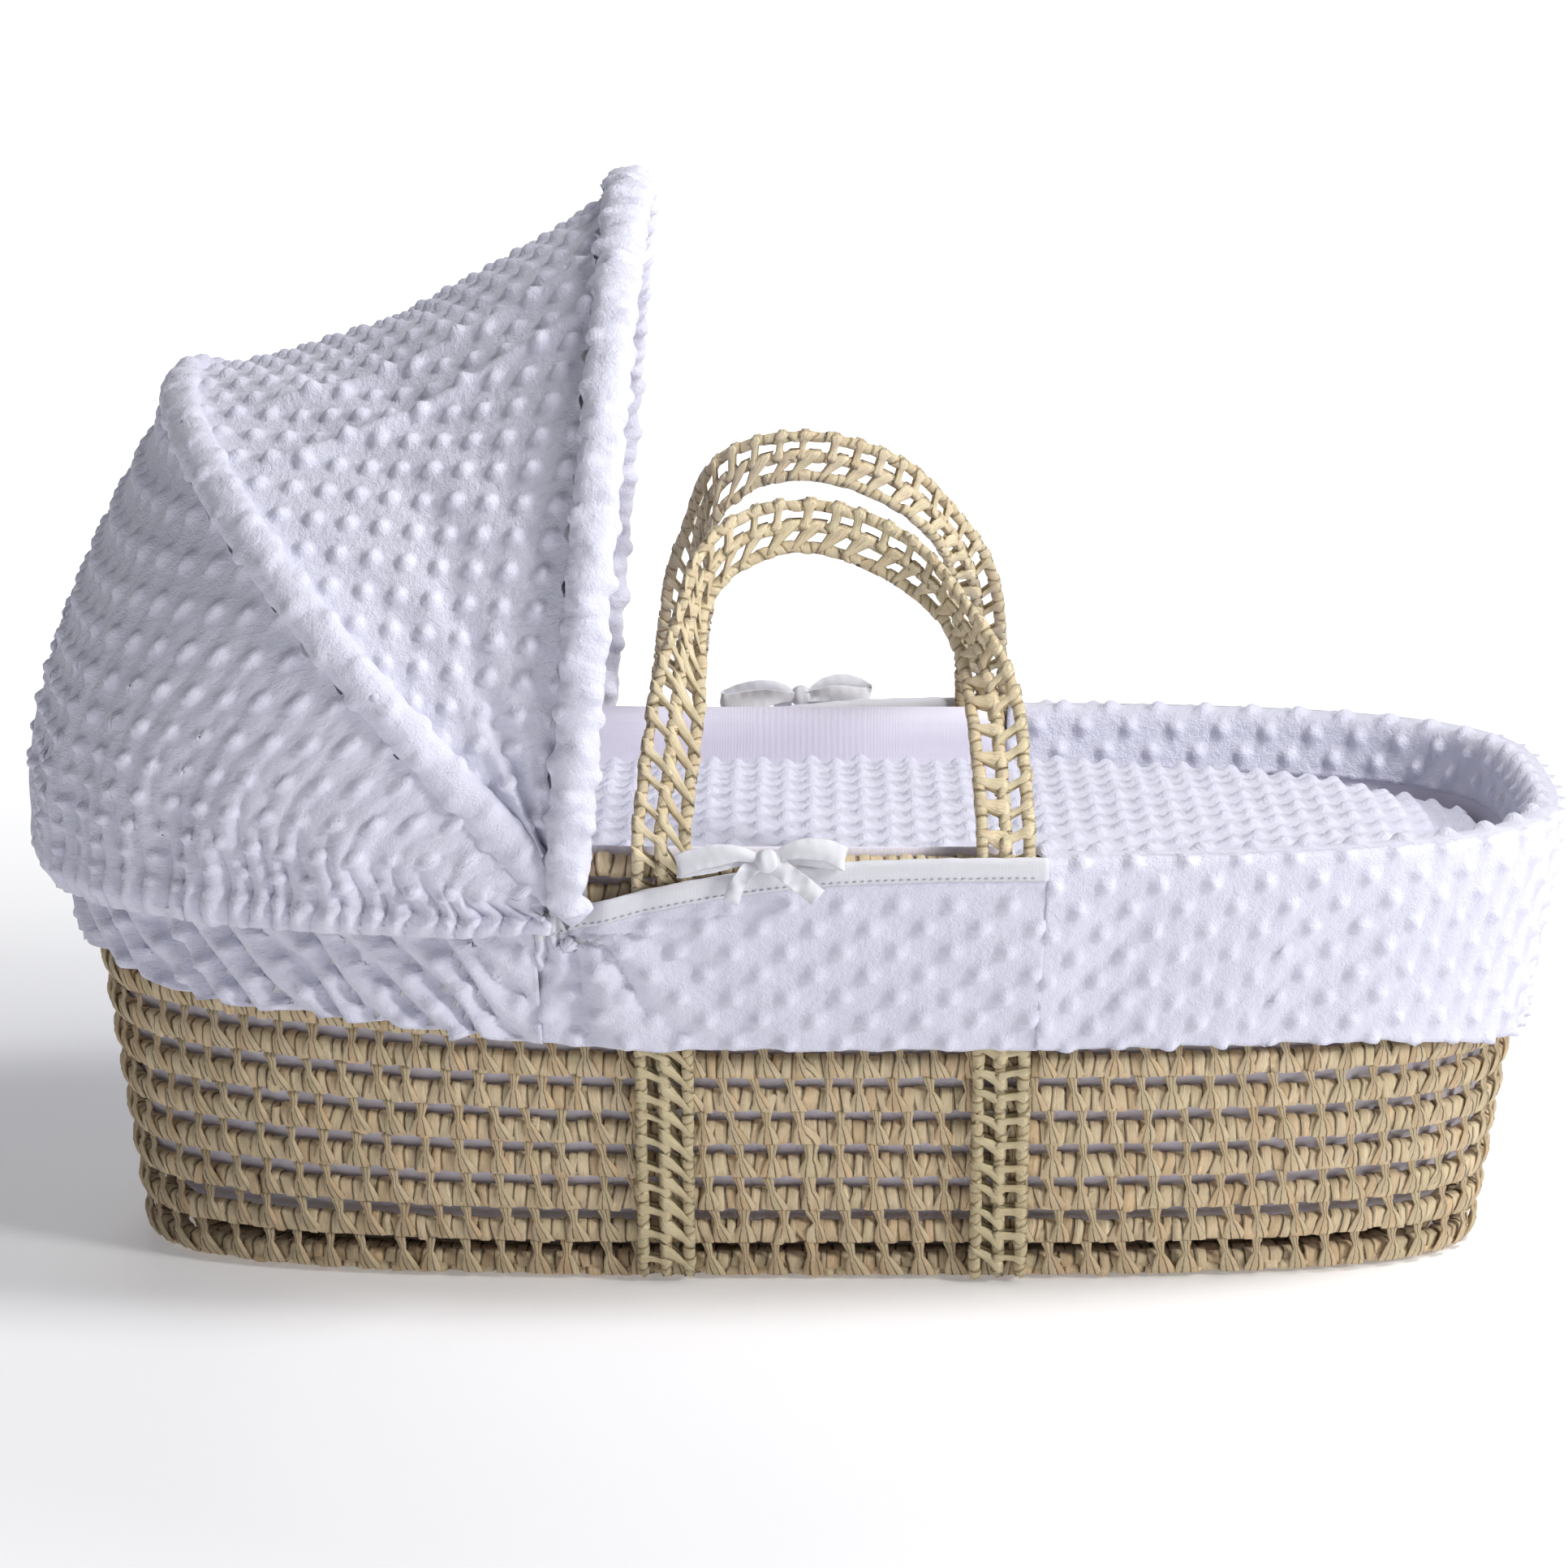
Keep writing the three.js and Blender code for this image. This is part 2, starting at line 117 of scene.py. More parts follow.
class Value:  # a node socket that takes part in arithmetic
    def __init__(self, finish, socket):
        self.finish = finish
        self.socket = socket

    def __add__(self, other):
        return self.finish.maths("ADD", self, other)

    def __radd__(self, other):
        return self.finish.maths("ADD", other, self)

    def __sub__(self, other):
        return self.finish.maths("SUBTRACT", self, other)

    def __rsub__(self, other):
        return self.finish.maths("SUBTRACT", other, self)

    def __mul__(self, other):
        return self.finish.maths("MULTIPLY", self, other)

    def __rmul__(self, other):
        return self.finish.maths("MULTIPLY", other, self)


class Finish:  # one material and the short way to add its nodes
    def __init__(self, name, **fixed):
        self.material = bpy.data.materials.new(name)
        self.material.use_nodes = True
        self.tree = self.material.node_tree
        self.shader = self.tree.nodes["Principled BSDF"]
        for socket, value in fixed.items():
            self.shader.inputs[socket.replace("_", " ")].default_value = value

    def node(self, kind, settings=None, sockets=None, output=0):
        node = self.tree.nodes.new(kind)
        for key, value in (settings or {}).items():
            if key == "stops":
                ramp = node.color_ramp.elements
                while len(ramp) < len(value):
                    ramp.new(0.5)
                for element, (place, colour) in zip(ramp, value):
                    element.position = place
                    element.color = (*colour, 1)
            else:
                setattr(node, key, value)
        for key, value in (sockets or {}).items():
            self.feed(node.inputs[key], value)
        return Value(self, node.outputs[output])

    def feed(self, socket, value):
        if isinstance(value, Value):
            self.tree.links.new(value.socket, socket)
        elif hasattr(value, "__len__") and len(value) == 3 and socket.type == "RGBA":
            socket.default_value = (*value, 1)
        else:
            socket.default_value = value

    def maths(self, operation, first, second=0.5):
        return self.node("ShaderNodeMath", {"operation": operation}, {0: first, 1: second})

    def mix(self, factor, first, second):
        return self.node("ShaderNodeMix", {"data_type": "RGBA"}, {0: factor, 6: first, 7: second}, 2)

    def noise(self, vector, scale, detail=2.0, roughness=0.5):
        sockets = {"Vector": vector, "Scale": scale, "Detail": detail, "Roughness": roughness}
        return self.node("ShaderNodeTexNoise", {}, sockets)

    def ranged(self, value, low, high, most=1.0):  # 0 at low, most at high
        sockets = {"Value": value, "From Min": low, "From Max": high, "To Max": most}
        return self.node("ShaderNodeMapRange", {}, sockets)

    def wave(self, vector, axis, scale):
        return self.node("ShaderNodeTexWave", {"bands_direction": axis}, {"Vector": vector, "Scale": scale})

    def part(self, vector, axis):
        return self.node("ShaderNodeSeparateXYZ", {}, {"Vector": vector}, axis)

    def stretched(self, vector, scale):
        return self.node("ShaderNodeMapping", {}, {"Vector": vector, "Scale": scale})

    def uv(self):
        return self.node("ShaderNodeTexCoord", {}, {}, 2)

    def objectSpace(self):
        return self.node("ShaderNodeTexCoord", {}, {}, 3)

    def colour(self, value):
        self.feed(self.shader.inputs["Base Color"], value)

    def roughness(self, value):
        self.feed(self.shader.inputs["Roughness"], value)

    def bump(self, height, distance, strength=1.0):
        sockets = {"Height": height, "Distance": distance, "Strength": strength}
        self.feed(self.shader.inputs["Normal"], self.node("ShaderNodeBump", {}, sockets))


fleeceSet = {"light": (0.82, 0.82, 0.94), "dark": (0.73, 0.73, 0.87), "shade": (0.55, 0.55, 0.66)}


def makeFleece(settings):
    finish = Finish("dimple fleece", Sheen_Weight=0.35, Sheen_Roughness=0.5, Specular_IOR_Level=0.15)
    cloth = finish.uv()
    pile = finish.noise(cloth, 900.0, 3.0, 0.65)
    tuft = finish.noise(cloth, 240.0, 2.0)
    unevenness = finish.noise(cloth, 14.0, 2.0)
    tone = finish.mix(unevenness, settings["dark"], settings["light"])
    finish.colour(finish.mix(pile * 0.35, tone, settings["shade"]))
    finish.roughness(0.86 + pile * 0.12)
    finish.bump(pile + tuft * 1.4, 0.0011, 0.8)
    return finish.material


weaveScale = 571.43


def makeCotton(name, light, dark):
    finish = Finish(name, Sheen_Weight=0.15, Specular_IOR_Level=0.2)
    cloth = finish.uv()
    weave = finish.wave(cloth, "X", weaveScale) * finish.wave(cloth, "Y", weaveScale)
    crease = finish.noise(cloth, 22.0, 3.0)
    # the crease noise also raises the bump below, and where it is low the colour goes to the dark tone:
    # painted shade in the hollows of the creases; the weave adds a faint thread pattern
    finish.colour(finish.mix(crease * 0.8 + weave * 0.1, dark, light))
    finish.roughness(0.78 + weave * 0.1)
    finish.bump(weave * 0.25 + crease * 3.0, 0.0009, 0.6)
    return finish.material


leafSet = {
    "tones": [
        (0.0, (0.78, 0.54, 0.31)), (0.25, (0.97, 0.76, 0.50)), (0.5, (0.90, 0.74, 0.46)),
        (0.75, (1.0, 0.81, 0.55)), (1.0, (0.96, 0.66, 0.38)),
    ],
    "shade": (0.11, 0.07, 0.035), "headShade": 0.10, "lowShade": 0.0,
}
ropeSet = {
    "tones": [
        (0.0, (0.84, 0.67, 0.43)), (0.35, (0.95, 0.80, 0.56)), (0.7, (0.86, 0.75, 0.50)),
        (1.0, (0.98, 0.84, 0.60)),
    ],
    "shade": (0.34, 0.24, 0.12), "headShade": 0.0, "lowShade": 0.50,
}
palmSet = {
    # the colour the rope is taken to towards the bottom, last on the next line, is painted shade
    "green": (0.70, 0.61, 0.36), "bleached": (0.98, 0.84, 0.62), "lowShadeTone": (0.56, 0.48, 0.28),
    "dim": (0.20, 0.15, 0.075), "headward": (-0.16, -0.42), "low": (0.25, 0.13),
}


def makePalm(name, settings):
    # u counts the wraps of leaf along a core, so its whole part picks a tone for each wrap
    s = palmSet
    finish = Finish(name, Specular_IOR_Level=0.3)
    leaf = finish.uv()
    wrap = finish.part(leaf, 0)
    wrapNumber = finish.maths("FLOOR", wrap)
    chance = finish.node("ShaderNodeTexWhiteNoise", {"noise_dimensions": "1D"}, {"W": wrapNumber})
    tone = finish.node("ShaderNodeValToRGB", {"stops": settings["tones"]}, {"Fac": chance})
    # groove is 0 at the edge between two wraps and 1 across each wrap; at those edges it takes the colour to
    # the shade colour: painted shade in the grooves between wraps
    groove = finish.ranged(finish.maths("PINGPONG", finish.maths("FRACT", wrap), 0.5), 0.0, 0.15)
    strand = finish.noise(finish.stretched(leaf, (17.0, 2.6, 1.0)), 1.0, 3.0, 0.6)
    fibre = finish.ranged(strand, 0.38, 0.72)
    place = finish.objectSpace()
    patch = finish.noise(place, 30.0, 3.0, 0.6)
    blotch = finish.noise(place, 170.0, 2.0, 0.6)
    headward = finish.ranged(finish.part(place, 0), *s["headward"], settings["headShade"])
    # lowness takes the rope's colour darker towards the bottom of the basket: painted shade
    lowness = finish.ranged(finish.part(place, 2), *s["low"], settings["lowShade"])
    tint = finish.mix(patch * 0.30, tone, s["green"])
    worn = finish.mix(blotch * fibre * 0.9, tint, s["bleached"])
    streaked = finish.mix(fibre * 0.30, worn, settings["shade"])
    # painted shade: the shade colour in the grooves between wraps
    grooved = finish.mix(groove, settings["shade"], finish.mix(lowness, streaked, s["lowShadeTone"]))
    finish.colour(finish.mix(headward, grooved, s["dim"]))
    finish.roughness(0.5 + fibre * 0.3)
    finish.bump(fibre * 0.7 + blotch * 0.5 + groove * 0.5, 0.0012, 0.75)
    return finish.material


floorSet = {
    "halfSize": 60.0, "tone": (0.84, 0.84, 0.85), "glowNear": (0.20, 0.20, 0.21), "glowFar": (1.0, 1.0, 1.0),
    "glowReach": (0.6, 3.0),
}


def makeFloorFinish(settings):
    finish = Finish("studio floor", Roughness=0.9, Specular_IOR_Level=0.1, Emission_Strength=1.0)
    away = finish.node("ShaderNodeVectorMath", {"operation": "LENGTH"}, {0: finish.objectSpace()}, 1)
    far = finish.ranged(away, *settings["glowReach"])
    glow = finish.mix(far, settings["glowNear"], settings["glowFar"])
    finish.feed(finish.shader.inputs["Emission Color"], glow)
    finish.colour(settings["tone"])
    return finish.material


def addFloor(settings):
    built = bmesh.new()
    bmesh.ops.create_grid(built, x_segments=2, y_segments=2, size=settings["halfSize"])
    mesh = bpy.data.meshes.new("floor")
    built.to_mesh(mesh)
    built.free()
    mesh.materials.append(makeFloorFinish(settings))
    inScene("floor", mesh)


whiteCotton = makeCotton("white cotton", (0.82, 0.82, 0.86), (0.72, 0.72, 0.78))
threadCotton = makeCotton("thread cotton", (0.62, 0.62, 0.68), (0.52, 0.52, 0.60))
lining = makeCotton("lining cotton", (0.95, 0.92, 1.0), (0.84, 0.80, 0.95))
slotFinishes = {  # the face's finish first, then the back's
    "palm_leaf": [makePalm("palm leaf", leafSet)],
    "palm_rope": [makePalm("palm rope", ropeSet)],
    "dimple_fleece": [makeFleece(fleeceSet), whiteCotton],
    "white_cotton": [whiteCotton],
    "lining_cotton": [lining, lining],
}
addFloor(floorSet)
print("camera, light, finishes and floor made")

# numbers and curves shared by the pieces

fullTurn = 2 * math.pi


def lerp(a, b, share):
    return a + (b - a) * share


def smoothstep(x, low, high):
    share = np.clip((x - low) / (high - low), 0, 1)
    return share * share * (3 - 2 * share)


def hill(x, middle, width):
    return np.exp(-(((x - middle) / width) ** 2))


def points(x, y, z):
    return np.stack(np.broadcast_arrays(x, y, z), axis=-1).astype(float)


def unit(vectors):
    return vectors / np.maximum(np.linalg.norm(vectors, axis=-1, keepdims=True), 1e-9)


def wander(x, pitch, seed):  # an irregular wave between about -1 and 1
    phase = np.random.default_rng(seed).uniform(0, fullTurn, 3)
    turn = x / pitch * fullTurn
    main = np.sin(turn + phase[0])
    return (main + 0.6 * np.sin(turn * 1.73 + phase[1]) + 0.5 * np.sin(turn * 0.41 + phase[2])) / 2


def evenly(curve, first, last, samples=3000):  # the curve's parameter at even steps of its length
    parameter = np.linspace(first, last, samples)
    steps = np.linalg.norm(np.diff(curve(parameter), axis=0), axis=1)
    travel = np.concatenate([[0], np.cumsum(steps)])
    return lambda share: np.interp(share * travel[-1], travel, parameter), travel[-1]


def smoothRoute(stops):  # a Catmull-Rom curve through the stops, from 0 to 1, at even steps
    stops = np.array(stops, float)
    padded = np.concatenate([[2 * stops[0] - stops[1]], stops, [2 * stops[-1] - stops[-2]]])

    def raw(parameter):
        place = np.clip(parameter, 0, 1) * (len(stops) - 1)
        index = np.minimum(place.astype(int), len(stops) - 2)
        t = (place - index)[..., None]
        a, b, c, d = (padded[index + step] for step in range(4))
        bend = (2 * a - 5 * b + 4 * c - d) * t**2 + (3 * b - a - 3 * c + d) * t**3
        return 0.5 * (2 * b + (c - a) * t + bend)

    where, length = evenly(raw, 0, 1)
    return lambda share: raw(where(share)), length


# meshes


def gridMesh(name, place, steps, copies=1):
    # place(u, v, copy) gives each grid point's place and its place on the flat material
    built = bmesh.new()
    built.loops.layers.uv.new("flat")
    bmesh.ops.create_grid(built, x_segments=steps[0], y_segments=steps[1], size=0.5, calc_uvs=True)
    mesh = bpy.data.meshes.new(name)
    built.to_mesh(mesh)
    built.free()
    if copies > 1:
        maker = inScene(name, mesh)
        array = maker.modifiers.new("copies", "ARRAY")
        array.count = copies
        array.use_relative_offset = False
        array.use_constant_offset = True
        array.constant_offset_displace = (0, 0, 1)
        shown = maker.evaluated_get(bpy.context.evaluated_depsgraph_get())
        mesh = bpy.data.meshes.new_from_object(shown)
        bpy.data.objects.remove(maker)
    corner = np.empty(len(mesh.vertices) * 3)
    mesh.vertices.foreach_get("co", corner)
    u, v, copy = corner.reshape(-1, 3).T
    at, flat = place(u + 0.5, v + 0.5, np.rint(copy).astype(int))
    mesh.vertices.foreach_set("co", at.ravel())
    vertexOf = np.empty(len(mesh.loops), np.int32)
    mesh.loops.foreach_get("vertex_index", vertexOf)
    mesh.uv_layers["flat"].data.foreach_set("uv", flat[vertexOf].ravel())
    faceRow = v[vertexOf.reshape(-1, 4)].mean(axis=1) + 0.5
    return mesh, faceRow


def addPiece(name, meshes, slot, body=None, nodes=(), capped=False, finishes=None):
    built = bmesh.new()
    for mesh in meshes:
        built.from_mesh(mesh)
        bpy.data.meshes.remove(mesh)
    bmesh.ops.remove_doubles(built, verts=built.verts, dist=1e-6)
    if capped:
        openEdges = [edge for edge in built.edges if edge.is_boundary]
        bmesh.ops.holes_fill(built, edges=openEdges, sides=0)
    bmesh.ops.recalc_face_normals(built, faces=built.faces)
    for face in built.faces:
        face.smooth = True
    mesh = bpy.data.meshes.new(name)
    built.to_mesh(mesh)
    built.free()
    for material in finishes or slotFinishes[slot]:
        mesh.materials.append(material)
    piece = inScene(name, mesh)
    if body:
        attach(piece, body)
    if nodes:
        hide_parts(*nodes)
    print(name, "made,", len(mesh.polygons), "faces")
    return piece


# the basket's outline

basketShape = {
    "baseHalfLength": 0.376, "baseHalfWidth": 0.127,
    "rimHalfLength": 0.412, "rimHalfWidth": 0.205, "rimHeight": 0.255,
    "squareness": 3.4, "headClimb": 0.08, "climbStart": 0.0824,
}
basketMiddle = (0, 0, 0.1)


def signedPower(value, power):
    return np.sign(value) * np.abs(value) ** power


def softPower(value):
    return signedPower(value, 2 / basketShape["squareness"])


def climb(x, z):
    s = basketShape
    return z * (1 + s["headClimb"] * smoothstep(-x, s["climbStart"], s["rimHalfLength"]))


def halfSizes(z, out):  # of the outline at a height, a distance out from the wall
    s = basketShape
    share = z / s["rimHeight"]
    length = lerp(s["baseHalfLength"], s["rimHalfLength"], share) + out
    return length, lerp(s["baseHalfWidth"], s["rimHalfWidth"], share) + out


def onOutline(theta, z, out):
    length, width = halfSizes(z, out)
    x = length * softPower(np.cos(theta))
    return points(x, width * softPower(np.sin(theta)), climb(x, z))


def endAngle(x, halfLength):  # the outline's angle from its long axis to a distance along it
    return math.acos((abs(x) / halfLength) ** (basketShape["squareness"] / 2))


def widthAt(x, z, out):
    length, width = halfSizes(z, out)
    power = basketShape["squareness"]
    return width * np.maximum(1 - np.abs(x / length) ** power, 1e-6) ** (1 / power)


# woven palm leaf: a core wrapped in leaf, wrap beside wrap

coreSet = {"around": 8, "girth": 0.05, "shift": 0.0004, "lean": 0.15, "width": 0.22}
wrapSteps = np.array([0.0, 0.2, 0.8])  # the groove before a wrap and the wrap's two shoulders


def wrappedCore(name, track, wraps, half, seed, closed, groove=0.11, slant=0.0, boxy=0.55):
    # track(share) gives centres with their side and lift directions; half is the half size along them
    s = coreSet
    chance = np.random.default_rng(seed)
    girth = 1 + s["girth"] * chance.standard_normal(wraps + 1)
    shift = s["shift"] * chance.standard_normal((wraps + 1, 2))
    lean = slant + s["lean"] * chance.standard_normal(wraps + 1)
    width = chance.uniform(-s["width"], s["width"], wraps + 1)
    if closed:
        for values in (girth, shift, lean, width):
            values[-1] = values[0]
    firstWrap = np.random.default_rng(seed + 1).integers(0, 900)  # where the core starts among the tones

    def place(u, v, copy):
        index = np.rint(u * wraps * 3).astype(int)
        wrap = index // 3
        part = index % 3
        along = wrap + wrapSteps[part] + np.where(part == 0, width[wrap], 0)
        size = girth[wrap] * np.where(part == 0, 1 - groove, 1)
        if not closed:  # an open core closes to a point at its ends
            along = np.clip(along, 0, wraps)
            size = size * ((index > 0) & (index < wraps * 3))
        angle = v * fullTurn
        sideways = signedPower(np.cos(angle), boxy)
        upright = signedPower(np.sin(angle), boxy)
        share = (along + lean[wrap] * upright * (size > 0)) / wraps
        share = share % 1 if closed else np.clip(share, 0, 1)
        centre, side, lift = track(share)
        sideStep = half[0] * sideways * size + shift[wrap, 0] * (part > 0)
        liftStep = half[1] * upright * size + shift[wrap, 1] * (part > 0)
        at = centre + side * sideStep[:, None] + lift * liftStep[:, None]
        return at, np.stack([wrap + wrapSteps[part] + firstWrap, v], axis=1)

    return gridMesh(name, place, (wraps * 3, s["around"]))[0]


def ringTrack(z, out, tall=True):
    # the track round the wall at a height; a tall core leans with the wall, a flat one lies level
    where, length = evenly(lambda angle: onOutline(angle, z, out), 0, fullTurn)
    turnStep = 0.002
    riseStep = 0.004

    def track(share):
        theta = where(share)
        centre = onOutline(theta, z, out)
        ahead = unit(onOutline(theta + turnStep, z, out) - onOutline(theta - turnStep, z, out))
        rise = np.array([0, 0, 1.0])
        if tall:
            rise = unit(onOutline(theta, z + riseStep, out) - onOutline(theta, z - riseStep, out))
        side = unit(np.cross(ahead, rise * np.ones_like(ahead)))
        return centre, side, np.cross(side, ahead)

    return track, length


wickerSet = {
    "rows": 12, "rowPitch": 0.0204, "firstRow": 0.0098, "rowHalfHeight": 0.0069, "rowHalfDepth": 0.0042,
    "wrapWidth": 0.0068, "knotPitch": 0.0188, "bottomTuck": 0.0026,
}


knotShape = {  # section by section down a knot, from the row above to the row below
    "heights": np.array([0.0064, 0.0036, 0.0004, -0.0030, -0.0068, -0.0122, -0.0168]),
    "widths": np.array([0.0032, 0.0031, 0.0024, 0.0017, 0.0040, 0.0056, 0.0062]),
    "proud": np.array([-0.0014, 0.0030, 0.0026, 0.0044, 0.0050, 0.0044, 0.0028]),
    "depth": np.array([0.0004, 0.0011, 0.0013, 0.0016, 0.0012, 0.0010, 0.0005]),
    "around": 12, "pleats": 6, "pleatDepth": 0.6, "fanFrom": 3, "tiltReach": 0.008,
}


def knotRow(z, out, phase, seed):
    # pinched leaf knots: tucked into the row above, narrow at the gap, fanned over the row below
    s = knotShape
    track, length = ringTrack(z, out)
    count = int(length / wickerSet["knotPitch"])
    chance = np.random.default_rng(seed)
    jitter = chance.uniform(-0.13, 0.13, count)
    tilt = chance.uniform(-0.0014, 0.0014, count) - 0.0012
    broad = chance.uniform(0.85, 1.15, count)
    steps = len(s["heights"]) - 1

    def place(u, v, copy):
        section = np.rint(v * steps).astype(int)
        height = s["heights"][section]
        angle = u * fullTurn
        pleat = 1 + s["pleatDepth"] * np.cos(angle * s["pleats"]) * (section > s["fanFrom"])
        across = s["widths"][section] * broad[copy] * np.cos(angle) + tilt[copy] * height / s["tiltReach"]
        share = ((copy + 0.5 + phase + jitter[copy]) / count) % 1
        centre, side, lift = track((share + across / length) % 1)
        away = s["proud"][section] + s["depth"][section] * np.sin(angle) * pleat
        at = centre + side * away[:, None] + lift * height[:, None]
        # each knot's flat spans three wraps, so the palm finish paints groove shade as dark lines along its
        # pleats
        return at, np.stack([copy * 3 + 1.5 + 1.4 * np.cos(angle) + seed * 31, v], axis=1)

    return gridMesh("knots", place, (s["around"], steps), count)[0]


def buildWicker():
    s = wickerSet
    rows = []
    knots = []
    for row in range(s["rows"]):
        z = s["firstRow"] + row * s["rowPitch"]
        tuck = s["bottomTuck"] if row == 0 else 0
        track, length = ringTrack(z, -s["rowHalfDepth"] - tuck)
        wraps = int(length / s["wrapWidth"])
        half = (s["rowHalfDepth"], s["rowHalfHeight"] - tuck / 2)
        rows.append(wrappedCore("row", track, wraps, half, 40 + row, True))
        phase = 0.5 * (row % 2) + 0.12 * math.sin(row * 2.3)
        if row < s["rows"] - 1:
            knots.append(knotRow(z + s["rowPitch"] / 2, -s["rowHalfDepth"], phase, 70 + row))
    half = s["rows"] // 2
    addPiece("wall_rows_lower", rows[:half], "palm_leaf", "basket", ["basket_wall"])
    addPiece("wall_rows_upper", rows[half:], "palm_leaf", "basket", ["basket_wall"])
    addPiece("wall_knots", knots, "palm_leaf", "basket")


rimSet = {"height": 0.2512, "out": -0.0045, "half": (0.0063, 0.0056), "wrapWidth": 0.0072}
baseSet = {
    "rings": 6, "out": -0.0115, "pitch": 0.0208, "height": 0.0062, "half": (0.0098, 0.0041),
    "wrapWidth": 0.0085,
}


def buildRimAndBase():
    track, length = ringTrack(rimSet["height"], rimSet["out"])
    wraps = int(length / rimSet["wrapWidth"])
    rim = wrappedCore("rim", track, wraps, rimSet["half"], 21, True, groove=0.1, slant=0.12, boxy=0.7)
    addPiece("rim_binding", [rim], "palm_leaf", "basket", ["basket_rim"])
    rings = []
    for ring in range(baseSet["rings"]):
        out = baseSet["out"] - ring * baseSet["pitch"]
        track, length = ringTrack(baseSet["height"], out, tall=False)
        wraps = int(length / baseSet["wrapWidth"])
        rings.append(wrappedCore("ring", track, wraps, baseSet["half"], 120 + ring, True))
    addPiece("base_coil", rings, "palm_leaf", "basket", ["basket_base"])


buildWicker()
buildRimAndBase()

# carrying handles: three wrapped cords a side, laced together

strapSet = {
    "headX": -0.080, "footX": 0.1025, "pitch": 0.0125, "pitchOnTop": 0.0116, "radius": 0.0034,
    "pivotY": 0.213, "pivotZ": 0.268, "lean": 30.0, "wrapWidth": 0.0072, "lacingPitch": 0.0148,
    "legHeights": (0.0088, 0.055, 0.125, 0.190, 0.236, 0.2605),
    "legStands": (0.0046, 0.0046, 0.0046, 0.0046, 0.0050, 0.0070),
    "under": 0.010, "footClear": 0.0008, "twist": 30.0, "shoulderTwist": 38.0, "shoulder": 0.22,
    "arch": (
        (-0.080, 0.006), (-0.074, 0.062), (-0.068, 0.108), (-0.060, 0.145), (-0.042, 0.167),
        (-0.016, 0.1775), (0.012, 0.176), (0.040, 0.164), (0.063, 0.146), (0.080, 0.123),
        (0.092, 0.097), (0.099, 0.062), (0.1025, 0.006),
    ),
}


def legPoint(x, height, stand, side):
    y = min(float(widthAt(x, height, stand)), strapSet["pivotY"])
    return (x, side * y, float(climb(x, height)))


def archPoints(side, across):
    s = strapSet
    lean = math.radians(s["lean"])
    where = smoothRoute([(x, up, 0) for x, up in s["arch"]])[0]
    share = np.linspace(0, 1, 25)
    middle = where(share)
    ahead = unit(where(share + 0.004) - where(share - 0.004))
    fromEnd = np.minimum(share, 1 - share)
    reach = across * lerp(s["pitch"], s["pitchOnTop"], smoothstep(fromEnd, 0.12, 0.3))
    fromShoulder = np.abs(np.abs(share - 0.5) - s["shoulder"])
    twist = math.radians(s["twist"]) * smoothstep(fromEnd, 0.10, 0.34)
    twist += math.radians(s["shoulderTwist"]) * smoothstep(0.15 - fromShoulder, 0, 0.15)
    flat = reach * np.cos(twist)
    outward = reach * np.sin(twist)
    x = middle[:, 0] - ahead[:, 1] * flat
    up = middle[:, 1] + ahead[:, 0] * flat
    y = s["pivotY"] - up * math.sin(lean) + outward * math.cos(lean)
    z = s["pivotZ"] + up * math.cos(lean) + outward * math.sin(lean)
    return points(x, side * y, z)


def cordRoute(side, across):  # up the head leg from under the basket, over the arch, down the foot leg
    s = strapSet
    legs = []
    for x in (s["headX"] - across * s["pitch"], s["footX"] + across * s["pitch"]):
        leg = [legPoint(x, z, out, side) for z, out in zip(s["legHeights"], s["legStands"])]
        under = (leg[0][0], leg[0][1] - side * s["under"], leg[0][2] + s["footClear"])
        legs.append([under] + leg)
    return smoothRoute(legs[0] + list(archPoints(side, across)) + legs[1][::-1])


def cordTrack(where, side):
    lean = math.radians(strapSet["lean"]) * 0.6
    outward = np.array([0, side * math.cos(lean), math.sin(lean)])

    def track(share):
        centre = where(share)
        ahead = unit(where(np.clip(share + 0.001, 0, 1)) - where(np.clip(share - 0.001, 0, 1)))
        across = unit(np.cross(ahead, outward * np.ones_like(ahead)))
        return centre, np.cross(across, ahead), across

    return track


lacingShapes = {
    "leaf": {"slope": 0.0100, "width": 0.0042, "broad": np.array([0.30, 0.42, 0.70, 1.0, 1.1, 0.8])},
    "rung": {"slope": 0.0020, "width": 0.0027, "broad": np.array([0.8, 1.35, 0.80, 0.80, 1.35, 0.8])},
}
lacingSections = {  # section by section from one cord (0) to the next (1)
    "reach": np.array([-0.28, -0.02, 0.3, 0.7, 1.02, 1.28]),
    "proud": np.array([0.0030, 0.0041, 0.0020, 0.0020, 0.0041, 0.0030]),
    "depth": np.array([0.0, 0.0010, 0.0012, 0.0012, 0.0010, 0.0]),
}


